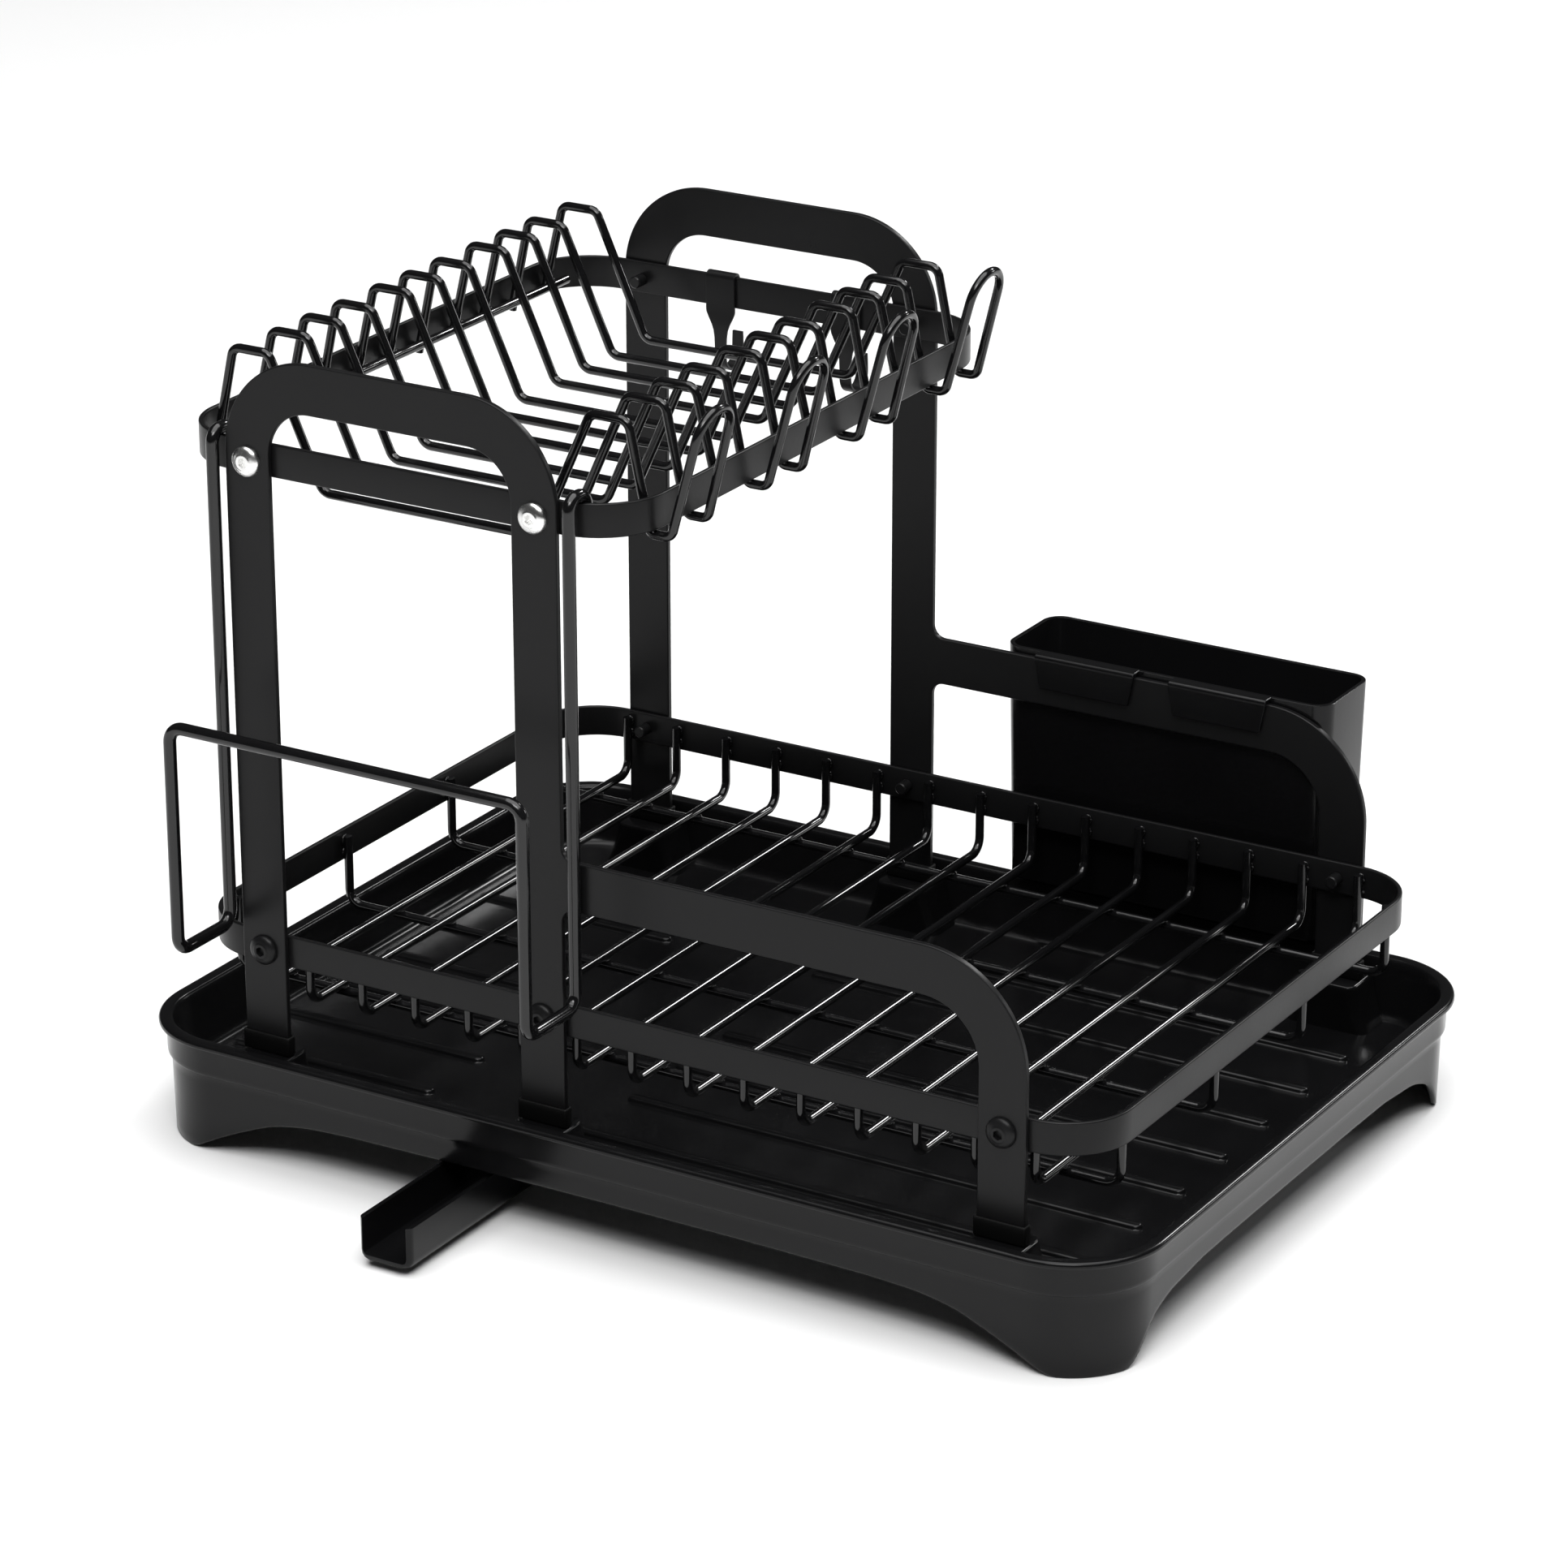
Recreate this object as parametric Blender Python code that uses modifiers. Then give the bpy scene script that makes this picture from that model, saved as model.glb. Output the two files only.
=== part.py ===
"""Two-tier dish drying rack: a drip tray with a swivelling spout, two flat-bar side frames that carry a small
upper basket and a large lower basket, a cutting-board holder, a cutlery box and two utensil hooks.
X runs along the long side, Y from front to back, Z up. The origin is on the table, under the middle of the
whole object's box. Lengths are in millimetres, turned into metres by MM."""

import math

import bmesh
import bpy
from mathutils import Matrix, Vector

MM = 0.001

# Where the rack's own middle lies: the spout stands out in front further than the cutlery box does behind.
MIDDLE_Y = 10.0
GAP = 0.3  # between pieces that touch

# Drip tray
TRAY_LENGTH = 420.0
TRAY_WIDTH = 304.0
TRAY_CORNER = 37.0
TRAY_RIM_Z = 46.5
FLOOR_TOP = 22.6
FLOOR_UNDER = 20.4
SKIRT_INSET = 5.2
# Height of the skirt's lower edge by the distance from the middle of its side
LONG_ARCH = ((181.5, 0.0), (179.0, 1.5), (172.0, 5.4), (161.0, 10.7), (146.0, 17.0), (136.0, 19.2),
             (127.5, 20.4), (109.0, 21.3), (60.0, 22.0))
SHORT_ARCH = ((124.8, 0.0), (123.6, 1.4), (120.5, 6.0), (116.8, 10.9), (112.0, 15.2), (100.0, 19.3),
              (75.0, 21.8), (50.0, 22.1))
RIB_PITCH = 33.6
RIB_COUNT = 7
RIB_WIDTH = 5.0
RIB_TOP = 24.2
LEFT_RIBS_X = (-194.0, -103.5)
RIGHT_RIBS_X = (-38.0, 176.5)
PAD_LOW = 21.6
PAD_TOP = 41.2
PAD_HALF_TOP = 11.2
PAD_HALF_FOOT = 17.6
PAD_FLARE = 1.4
PAD_INNER_Y = 124.0
PAD_REACH = (143.0, 145.2)

# Drain hole and spout
DRAIN_X = -60.5
DRAIN_Y = -126.0
DRAIN_RADIUS = 9.0
SPOUT_WIDTH = 22.4
SPOUT_TOP = 19.4
SPOUT_BOTTOM = 3.4
SPOUT_END = -196.4
SPOUT_WALL = 1.8

# Side frames: flat bar
BAR = 18.8
BAR_THICK = 2.5
FRAME_FACE_Y = 132.4
LEG_X = (-154.0, -32.0, 156.0)
LEG_BOTTOM = 43.4
CAP_WALL = 1.0
CAP_HEIGHT = 7.4
HANDLE_TOP = 312.0
HANDLE_RADIUS = 37.0
ARM_TOP = 145.7
ARM_RADIUS = 41.5
BOLT_Z_UPPER = 272.0
BOLT_Z_LOWER = 82.5
BOLT_HOLE = 2.8

# Rings: strip on edge
STRIP_THICK = 1.8
STRIP_HEIGHT = 12.6
RING_Y = FRAME_FACE_Y - GAP
RING_CORNER = 26.0
UPPER_RING_X = (LEG_X[0] + LEG_X[1]) / 2
UPPER_RING_HALF = 96.7
UPPER_RING_Z = 272.8
LOWER_RING_X = (LEG_X[0] + LEG_X[2]) / 2
LOWER_RING_HALF = 190.6
LOWER_RING_Z = BOLT_Z_LOWER

# Upper basket wires
WIRE = 3.5
PAIR_PITCH = 24.1
SINGLE_PITCH = 20.3
LOOP_TOP_Z = 304.0
LOOP_OUTER = 84.1
LOOP_INNER = 68.6
TROUGH_HALF = 46.2
TROUGH_Z = 255.1
WIRE_FOOT = UPPER_RING_HALF - STRIP_THICK - WIRE / 2 - 2 * GAP
WIRE_FOOT_Z = 264.2
STEM_END_Z = 269.6
STUB_END_Z = 266.5
RAIL_X = -86.7
RAIL_Z = 272.0
CUP_FOOT = 101.4
CUP_TOP = 113.3
CUP_TOP_Z = 309.6
CUP_HALF = 10.6

# Lower basket wires
LONG_WIRES = 15
LONG_PITCH = 23.4
LONG_MIDDLE_X = 2.0
LONG_Z = 62.3
CROSS_Y = (-106.2, -35.4, 35.4, 106.2)
WIRE_END_Z = 86.4

# Cutting-board holder
HOLDER_WIRE = 4.8
HOLDER_X = (-166.8, -15.5)
HOLDER_DROP_Z = 91.8
HOLDER_FRONT_Y = -169.8
HOLDER_BAR_Z = 179.7

# Cutlery box
BOX_X = (7.1, 146.6)
BOX_DEPTH = 41.0
BOX_FRONT_Y = 135.4
BOX_RIM_Z = 147.8
BOX_BOTTOM_Z = 49.0
BOX_WALL = 2.0
BOX_CORNER = 8.0
TAB_X = ((23.6, 66.8), (81.5, 123.2))
TAB_LOW_Z = 134.2

# Utensil hooks
HOOK_X = (-117.3, -60.7)
HOOK_WIDTH = 13.0
HOOK_THICK = 1.2

# Fasteners
HEAD_RADIUS = 5.8
HEAD_HEIGHT = 3.1
SHANK_RADIUS = 2.4
SHANK_LENGTH = 10.5


def clear_scene():
    for obj in list(bpy.data.objects):
        bpy.data.objects.remove(obj, do_unlink=True)


def material(name, colour, roughness, metallic=0.0):
    made = bpy.data.materials.new(name)
    made.use_nodes = True
    shader = made.node_tree.nodes["Principled BSDF"]
    shader.inputs["Base Color"].default_value = (*colour, 1.0)
    shader.inputs["Roughness"].default_value = roughness
    shader.inputs["Metallic"].default_value = metallic
    return made


def collection(name):
    made = bpy.data.collections.new(name)
    bpy.context.scene.collection.children.link(made)
    return made


def empty(name, location, parent=None):
    made = bpy.data.objects.new(name, None)
    made.location = Vector(location) * MM
    made.parent = parent
    PARTS.objects.link(made)
    return made


def place(name, data, finish, parent, location=(0, 0, 0)):
    """Adds the object of one sub-part."""
    made = bpy.data.objects.new(name, data)
    made.location = Vector(location) * MM
    made.parent = parent
    PARTS.objects.link(made)
    data.materials.clear()
    data.materials.append(finish)
    return made


def helper(name, data, parent=None):
    """Adds a cutter or an added shape, which isn't a sub-part."""
    made = bpy.data.objects.new(name, data)
    made.parent = parent
    made.hide_render = True
    made.display_type = "WIRE"
    CUTTERS.objects.link(made)
    return made


def boolean(obj, other, operation="DIFFERENCE"):
    modifier = obj.modifiers.new(other.name, "BOOLEAN")
    modifier.operation = operation
    modifier.object = other


def arc(centre, radius, start, end, steps):
    """Points of an arc in a plane, ends included, angles in degrees."""
    angles = [math.radians(start + (end - start) * i / steps) for i in range(steps + 1)]
    return [(centre[0] + radius * math.cos(a), centre[1] + radius * math.sin(a)) for a in angles]


def rounded_rectangle(half_x, half_y, radius, steps=6, centre=(0, 0)):
    """Outline of a rounded rectangle, anticlockwise."""
    points = []
    for sign_x, sign_y, start in ((1, 1, 0), (-1, 1, 90), (-1, -1, 180), (1, -1, 270)):
        corner = (centre[0] + sign_x * (half_x - radius), centre[1] + sign_y * (half_y - radius))
        points += arc(corner, radius, start, start + 90, steps)
    return points


def rounded_path(points, radius, steps=4):
    """An open path through points whose corners are turned into arcs of one radius."""
    points = [Vector(p) for p in points]
    path = [points[0]]
    for before, corner, after in zip(points, points[1:], points[2:]):
        into = (corner - before).normalized()
        out = (after - corner).normalized()
        turn = into.angle(out)
        if turn < 1e-3:
            continue
        reach = radius * math.tan(turn / 2)
        middle = corner + (out - into).normalized() * (radius / math.cos(turn / 2))
        first = corner - into * reach - middle
        second = corner + out * reach - middle
        axis = first.cross(second).normalized()
        side = axis.cross(first)
        for i in range(steps + 1):
            angle = turn * i / steps
            path.append(middle + first * math.cos(angle) + side * math.sin(angle))
    return path + [points[-1]]


def curve(name, dimensions):
    made = bpy.data.curves.new(name, "CURVE")
    made.dimensions = dimensions
    return made


def add_spline(data, points, cyclic):
    spline = data.splines.new("POLY")
    spline.points.add(len(points) - 1)
    for target, point in zip(spline.points, points):
        target.co = (*[c * MM for c in point], *([0.0] * (3 - len(point))), 1.0)
    spline.use_cyclic_u = cyclic


def wire(name, points, diameter, finish, parent, location=(0, 0, 0)):
    """A round wire along a path."""
    data = curve(name, "3D")
    data.bevel_depth = diameter / 2 * MM
    data.bevel_resolution = 2
    data.use_fill_caps = True
    add_spline(data, points, cyclic=False)
    return place(name, data, finish, parent, location)


def plate_data(name, outlines, thickness):
    """A flat plate in the XY plane, centred on z = 0; outlines after the first are its holes."""
    data = curve(name, "2D")
    data.fill_mode = "BOTH"
    data.extrude = thickness / 2 * MM
    for outline in outlines:
        add_spline(data, outline, cyclic=True)
    return data


def as_mesh(data, name, tilt=None):
    """A curve made a welded mesh, turned by tilt if given."""
    temporary = bpy.data.objects.new(name, data)
    bpy.context.scene.collection.objects.link(temporary)
    graph = bpy.context.evaluated_depsgraph_get()
    mesh = bpy.data.meshes.new_from_object(temporary.evaluated_get(graph))
    bpy.data.objects.remove(temporary, do_unlink=True)
    mesh.name = name
    shape = bmesh.new()
    shape.from_mesh(mesh)
    bmesh.ops.remove_doubles(shape, verts=shape.verts, dist=1e-6)
    if tilt:
        bmesh.ops.transform(shape, matrix=tilt, verts=shape.verts)
    bmesh.ops.recalc_face_normals(shape, faces=shape.faces)
    shape.to_mesh(mesh)
    shape.free()
    return mesh


def loft(name, sections):
    """A closed solid through sections of equal point count, its first and last sections capped."""
    shape = bmesh.new()
    rings = [[shape.verts.new(Vector(p) * MM) for p in section] for section in sections]
    for low, high in zip(rings, rings[1:]):
        for i in range(len(low)):
            j = (i + 1) % len(low)
            shape.faces.new((low[i], low[j], high[j], high[i]))
    shape.faces.new(list(reversed(rings[0])))
    shape.faces.new(rings[-1])
    bmesh.ops.recalc_face_normals(shape, faces=shape.faces)
    mesh = bpy.data.meshes.new(name)
    shape.to_mesh(mesh)
    shape.free()
    return mesh


def join_meshes(name, meshes):
    """Separate closed shapes in one mesh."""
    shape = bmesh.new()
    for mesh in meshes:
        shape.from_mesh(mesh)
    made = bpy.data.meshes.new(name)
    shape.to_mesh(made)
    shape.free()
    return made


def prism(name, outline, low, high):
    """A prism of one outline between two heights."""
    return loft(name, [[(x, y, z) for x, y in outline] for z in (low, high)])


def cylinder_y(name, x, z, radius, low_y, high_y, sides=16):
    """A cylinder along Y."""
    outline = arc((x, z), radius, 0, 360 - 360 / sides, sides - 1)
    return loft(name, [[(u, y, v) for u, v in outline] for y in (low_y, high_y)])


# Drip tray


def arch_outline(half_profile):
    """Side view of one arch, closed below the table, from its right half."""
    right = [(half_profile[0][0], -5.0)] + list(half_profile)
    return right + [(-u, v) for u, v in reversed(right)]


def tray_section(inset, z):
    half_x = TRAY_LENGTH / 2 - inset
    half_y = TRAY_WIDTH / 2 - inset
    return [(x, y, z) for x, y in rounded_rectangle(half_x, half_y, TRAY_CORNER - inset, 7)]


def tray_shell():
    """From under the floor, round the skirt and over the rim, down to the top of the floor."""
    profile = (
        (12.4, FLOOR_UNDER), (10.2, 21.8), (8.0, 25.6), (6.7, 31.5), (7.2, 0.0), (SKIRT_INSET, 0.0),
        (4.5, 32.2), (3.0, 32.9), (2.8, 43.7), (0.0, 44.1), (0.0, 45.5), (0.9, TRAY_RIM_Z),
        (4.4, TRAY_RIM_Z), (5.6, 45.6), (6.6, 42.8), (9.8, 26.0), (11.4, 23.4), (14.0, FLOOR_TOP),
    )
    return loft("drip_tray", [tray_section(inset, z) for inset, z in profile])


def tray_arches():
    """One cutter for each side, no deeper than the skirt."""
    deep = 8.0
    long_arch = arch_outline(LONG_ARCH)
    short_arch = arch_outline(SHORT_ARCH)
    cutters = []
    for side in (-1, 1):
        outer = side * (TRAY_WIDTH / 2 + 5)
        inner = side * (TRAY_WIDTH / 2 - deep)
        cutters.append(loft("arch", [[(u, y, v) for u, v in long_arch] for y in (outer, inner)]))
        outer = side * (TRAY_LENGTH / 2 + 5)
        inner = side * (TRAY_LENGTH / 2 - deep)
        cutters.append(loft("arch", [[(x, u, v) for u, v in short_arch] for x in (outer, inner)]))
    return join_meshes("tray_arches", cutters)


def tray_ribs():
    """Round-ended floor ribs in two groups, with the drain channel between them."""
    ribs = []
    for row in range(RIB_COUNT):
        y = (row - (RIB_COUNT - 1) / 2) * RIB_PITCH
        for low_x, high_x in (LEFT_RIBS_X, RIGHT_RIBS_X):
            half = (high_x - low_x) / 2
            outline = rounded_rectangle(half, RIB_WIDTH / 2, RIB_WIDTH / 2 - 0.05, 4, ((low_x + high_x) / 2, y))
            ribs.append(prism("rib", outline, FLOOR_TOP - 1.0, RIB_TOP))
    return join_meshes("tray_ribs", ribs)


def tray_pads():
    """Raised pads against the front and back walls, one under each leg; their sides flare out to the floor."""
    pads = []
    for x in LEG_X:
        for side in (-1, 1):
            sections = []
            for depth in (1.0, 0.78, 0.52, 0.26, 0.0):
                half_x = PAD_HALF_TOP + (PAD_HALF_FOOT - PAD_HALF_TOP) * depth ** PAD_FLARE
                reach = PAD_REACH[1] + (PAD_REACH[0] - PAD_REACH[1]) * depth
                z = PAD_TOP + (PAD_LOW - PAD_TOP) * depth
                half_y = (reach - PAD_INNER_Y) / 2
                outline = rounded_rectangle(half_x, half_y, 4.0, 3, (x, side * (reach - half_y)))
                sections.append([(u, v, z) for u, v in outline])
            pads.append(loft("pad", sections))
    return join_meshes("tray_pads", pads)


def make_tray(parent):
    tray = place("drip_tray", tray_shell(), PLASTIC, parent)
    boolean(tray, helper("tray_arches", tray_arches(), parent))
    boolean(tray, helper("tray_ribs", tray_ribs(), parent), "UNION")
    boolean(tray, helper("tray_pads", tray_pads(), parent), "UNION")
    outline = arc((DRAIN_X, DRAIN_Y), DRAIN_RADIUS, 0, 345, 23)
    hole = prism("drain_hole", outline, FLOOR_UNDER - 5, FLOOR_TOP + 5)
    boolean(tray, helper("drain_hole", hole, parent))


def make_spout(parent):
    """An open channel that hangs from a hollow snap collar in the drain hole; its origin is the hole's axis."""
    pivot = empty("spout_pivot", (DRAIN_X, DRAIN_Y, 0), parent)
    half = SPOUT_WIDTH / 2
    end = SPOUT_END - DRAIN_Y
    back = 15.0
    outer = rounded_rectangle(half, (back - end) / 2, 3.0, 3, (0, (back + end) / 2))
    body = prism("drain_spout", outer, SPOUT_BOTTOM, SPOUT_TOP)
    spout = place("drain_spout", body, PLASTIC, pivot)
    inner = [(-half + SPOUT_WALL, end - 6), (half - SPOUT_WALL, end - 6),
             (half - SPOUT_WALL, back - SPOUT_WALL), (-half + SPOUT_WALL, back - SPOUT_WALL)]
    channel = prism("spout_channel", inner, SPOUT_BOTTOM + SPOUT_WALL, SPOUT_TOP + 5)
    boolean(spout, helper("spout_channel", channel, pivot))
    collar = arc((0, 0), 8.4, 0, 345, 23)
    bore = arc((0, 0), 6.6, 0, 345, 23)
    lip = arc((0, 0), 10.6, 0, 345, 23)
    bridge = [(-half + 0.6, -8.2), (half - 0.6, -8.2), (half - 0.6, 8.2), (-half + 0.6, 8.2)]
    added = (("spout_bridge", prism("spout_bridge", bridge, SPOUT_TOP - 2.4, SPOUT_TOP)),
             ("spout_collar", prism("spout_collar", collar, SPOUT_TOP - 1.5, FLOOR_TOP + 1.2)),
             ("spout_lip", prism("spout_lip", lip, FLOOR_TOP + GAP, FLOOR_TOP + 1.6)))
    for name, mesh in added:
        boolean(spout, helper(name, mesh, pivot), "UNION")
    boolean(spout, helper("spout_bore", prism("spout_bore", bore, SPOUT_TOP - 5, FLOOR_TOP + 5), pivot))


# Side frames


def frame_outline():
    """Front view of a side frame, starting at the left leg's foot and going round the outside."""
    half = BAR / 2
    left, middle, right = LEG_X
    inner_handle = HANDLE_RADIUS - BAR
    inner_arm = ARM_RADIUS - BAR
    handle_z = HANDLE_TOP - HANDLE_RADIUS
    arm_z = ARM_TOP - ARM_RADIUS
    fillet = 5.0
    points = [(left - half, LEG_BOTTOM)]
    points += arc((left - half + HANDLE_RADIUS, handle_z), HANDLE_RADIUS, 180, 90, 8)
    points += arc((middle + half - HANDLE_RADIUS, handle_z), HANDLE_RADIUS, 90, 0, 8)
    points += arc((middle + half + fillet, ARM_TOP + fillet), fillet, 180, 270, 3)
    points += arc((right + half - ARM_RADIUS, arm_z), ARM_RADIUS, 90, 0, 8)
    points += [(right + half, LEG_BOTTOM), (right - half, LEG_BOTTOM)]
    points += arc((right - half - inner_arm, arm_z), inner_arm, 0, 90, 6)
    points += arc((middle + half + fillet, ARM_TOP - BAR - fillet), fillet, 90, 180, 3)
    points += [(middle + half, LEG_BOTTOM), (middle - half, LEG_BOTTOM)]
    points += arc((middle - half - inner_handle, handle_z), inner_handle, 0, 90, 6)
    points += arc((left + half + inner_handle, handle_z), inner_handle, 90, 180, 6)
    points += [(left + half, LEG_BOTTOM)]
    return points


def bolt_places():
    """The five bolts of one side, as (x, z), upper ones first."""
    return [(x, BOLT_Z_UPPER) for x in LEG_X[:2]] + [(x, BOLT_Z_LOWER) for x in LEG_X]


def upright(y):
    """Stands a flat plate up, its Y turned to Z, with its middle at y."""
    return Matrix.Translation((0, y * MM, 0)) @ Matrix.Rotation(math.pi / 2, 4, "X")


def make_frames(parent):
    outlines = [frame_outline()]
    outlines += [arc(place_, BOLT_HOLE, 0, 330, 11) for place_ in bolt_places()]
    for name, side in (("front_side_frame", -1), ("back_side_frame", 1)):
        data = plate_data(name, outlines, BAR_THICK)
        y = side * (FRAME_FACE_Y + BAR_THICK / 2)
        place(name, as_mesh(data, name, upright(y)), BLACK_METAL, parent)


def make_leg_caps(parent):
    for number, side in (("front", -1), ("back", 1)):
        for where, x in zip(("left", "middle", "right"), LEG_X):
            y = side * (FRAME_FACE_Y + BAR_THICK / 2)
            name = f"leg_cap_{number}_{where}"
            outer = rounded_rectangle(BAR / 2 + CAP_WALL, BAR_THICK / 2 + CAP_WALL, 0.9, 3)
            pocket = rounded_rectangle(BAR / 2 + GAP, BAR_THICK / 2 + GAP, 0.3, 1)
            low = PAD_TOP + GAP
            cap = place(name, prism(name, outer, low, low + CAP_HEIGHT), RUBBER, parent, (x, y, 0))
            cut = helper(name + "_pocket", prism("pocket", pocket, LEG_BOTTOM - GAP, low + 20), parent)
            cut.location = Vector((x, y, 0)) * MM
            boolean(cap, cut)


# Rings


def make_ring(name, middle_x, half_x, middle_z, bolt_x, bolt_z, parent):
    outer = rounded_rectangle(half_x, RING_Y, RING_CORNER, 8)
    inner = rounded_rectangle(half_x - STRIP_THICK, RING_Y - STRIP_THICK, RING_CORNER - STRIP_THICK, 8)
    data = plate_data(name, [outer, inner], STRIP_HEIGHT)
    ring = place(name, as_mesh(data, name), BLACK_METAL, parent, (middle_x, 0, middle_z))
    for x in bolt_x:
        label = f"{name}_hole_{round(x)}"
        boolean(ring, helper(label, cylinder_y(label, x, bolt_z, BOLT_HOLE, -140, 140, 12), parent))


# Upper basket


def plate_wire_rows():
    """Y of the eleven plate slots' wires; those at each end of a wide step share a cup hook."""
    steps = [PAIR_PITCH if i in (1, 4, 7, 10) else SINGLE_PITCH for i in range(1, 11)]
    rows = [-sum(steps) / 2]
    for step in steps:
        rows.append(rows[-1] + step)
    return rows


def slot_path(y, left_foot_z):
    """One plate slot from its left foot to the top of its right loop."""
    return [(-WIRE_FOOT, y, left_foot_z), (-LOOP_OUTER, y, LOOP_TOP_Z), (-LOOP_INNER, y, LOOP_TOP_Z),
            (-TROUGH_HALF, y, TROUGH_Z), (TROUGH_HALF, y, TROUGH_Z), (LOOP_INNER, y, LOOP_TOP_Z),
            (LOOP_OUTER, y, LOOP_TOP_Z)]


def make_plate_wires(parent):
    rows = plate_wire_rows()
    bend = 4.0
    for number, row in enumerate((2, 5, 8), 1):
        path = slot_path(rows[row], STEM_END_Z) + [(WIRE_FOOT, rows[row], STEM_END_Z)]
        wire(f"plate_wire_{number}", rounded_path(path, bend), WIRE, BLACK_WIRE, parent, (UPPER_RING_X, 0, 0))
    for number, (first, second) in enumerate(((0, 1), (3, 4), (6, 7), (9, 10)), 1):
        near, far = rows[first], rows[second]
        middle = (near + far) / 2
        out = slot_path(near, STUB_END_Z) + [(WIRE_FOOT, near, WIRE_FOOT_Z), (CUP_FOOT, near, WIRE_FOOT_Z)]
        back = slot_path(far, STEM_END_Z) + [(WIRE_FOOT, far, WIRE_FOOT_Z), (CUP_FOOT, far, WIRE_FOOT_Z)]
        lean = (CUP_TOP - CUP_FOOT) / (CUP_TOP_Z - WIRE_FOOT_Z)
        arc_z = CUP_TOP_Z - CUP_HALF
        hairpin = []
        for u, z in arc((middle, arc_z), CUP_HALF, 180, 0, 8):
            hairpin.append(Vector((CUP_FOOT + (z - WIRE_FOOT_Z) * lean, u, z)))
        near_side = rounded_path(out + [tuple(hairpin[0])], bend, 3)
        far_side = rounded_path(back + [tuple(hairpin[-1])], bend, 3)
        path = near_side + hairpin[1:-1] + list(reversed(far_side))
        wire(f"plate_cup_wire_{number}", path, WIRE, BLACK_WIRE, parent, (UPPER_RING_X, 0, 0))


def make_rail_wire(parent):
    """The straight wire along the inside of the left strip, against the stems of the plate slots."""
    reach = abs(plate_wire_rows()[0]) + 6
    wire("upper_rail_wire", [(RAIL_X, -reach, RAIL_Z), (RAIL_X, reach, RAIL_Z)], WIRE, BLACK_WIRE, parent,
         (UPPER_RING_X, 0, 0))


# Lower basket


def make_long_wires(parent):
    y = RING_Y - STRIP_THICK - WIRE / 2 - GAP
    for i in range(LONG_WIRES):
        x = LONG_MIDDLE_X + (i - (LONG_WIRES - 1) / 2) * LONG_PITCH
        corners = [(0, -y, WIRE_END_Z), (0, -y, LONG_Z), (0, y, LONG_Z), (0, y, WIRE_END_Z)]
        wire(f"long_wire_{i + 1:02d}", rounded_path(corners, 6.0), WIRE, BLACK_WIRE, parent, (x, 0, 0))


def make_cross_wires(parent):
    x = LOWER_RING_HALF - STRIP_THICK - WIRE / 2 - GAP
    z = LONG_Z - WIRE - GAP
    for i, y in enumerate(CROSS_Y):
        corners = [(-x, 0, WIRE_END_Z), (-x, 0, z), (x, 0, z), (x, 0, WIRE_END_Z)]
        wire(f"cross_wire_{i + 1}", rounded_path(corners, 6.0), WIRE, BLACK_WIRE, parent, (LOWER_RING_X, y, 0))


# Accessories


def make_board_holder(parent):
    """Hooks over the front strip of the upper ring and stands off in front for a cutting board."""
    left, right = HOLDER_X
    outside = -(FRAME_FACE_Y + BAR_THICK + GAP + HOLDER_WIRE / 2)
    inside = -(RING_Y - STRIP_THICK - GAP - HOLDER_WIRE / 2)
    over = UPPER_RING_Z + STRIP_HEIGHT / 2 + GAP + HOLDER_WIRE / 2
    inner_end = over - 14.0
    top = HOLDER_BAR_Z
    inside += 1.0
    corners = [(left, inside, inner_end), (left, inside, over), (left, outside, over),
               (left, outside, HOLDER_DROP_Z), (left, HOLDER_FRONT_Y, HOLDER_DROP_Z), (left, HOLDER_FRONT_Y, top)]
    mirrored = [(right, y, z) for _, y, z in reversed(corners)]
    wire("board_holder", rounded_path(corners + mirrored, 3.3), HOLDER_WIRE, BLACK_WIRE, parent)


def box_section(inset, z):
    half_x = (BOX_X[1] - BOX_X[0]) / 2 - inset
    half_y = BOX_DEPTH / 2 - inset
    centre = ((BOX_X[0] + BOX_X[1]) / 2, BOX_FRONT_Y + BOX_DEPTH / 2)
    radius = max(BOX_CORNER - inset, 2.0)
    return [(x, y, z) for x, y in rounded_rectangle(half_x, half_y, radius, 5, centre)]


def cutlery_tab(low_x, high_x):
    """A tab that goes over the frame's arm and down its inner side, narrower at its end."""
    under = ARM_TOP + GAP
    inner = FRAME_FACE_Y - GAP
    side_view = [(BOX_FRONT_Y + 1.0, under), (inner, under), (inner, TAB_LOW_Z), (inner - 1.6, TAB_LOW_Z),
                 (inner - 1.6, BOX_RIM_Z - 1.0), (inner - 0.6, BOX_RIM_Z), (BOX_FRONT_Y + 1.0, BOX_RIM_Z)]
    middle = (low_x + high_x) / 2
    half = (high_x - low_x) / 2
    sections = []
    for side in (-1, 1):
        sections.append([(middle + side * (half - (2.4 if z < under else 0.0)), y, z) for y, z in side_view])
    return loft("tab", sections)


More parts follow.
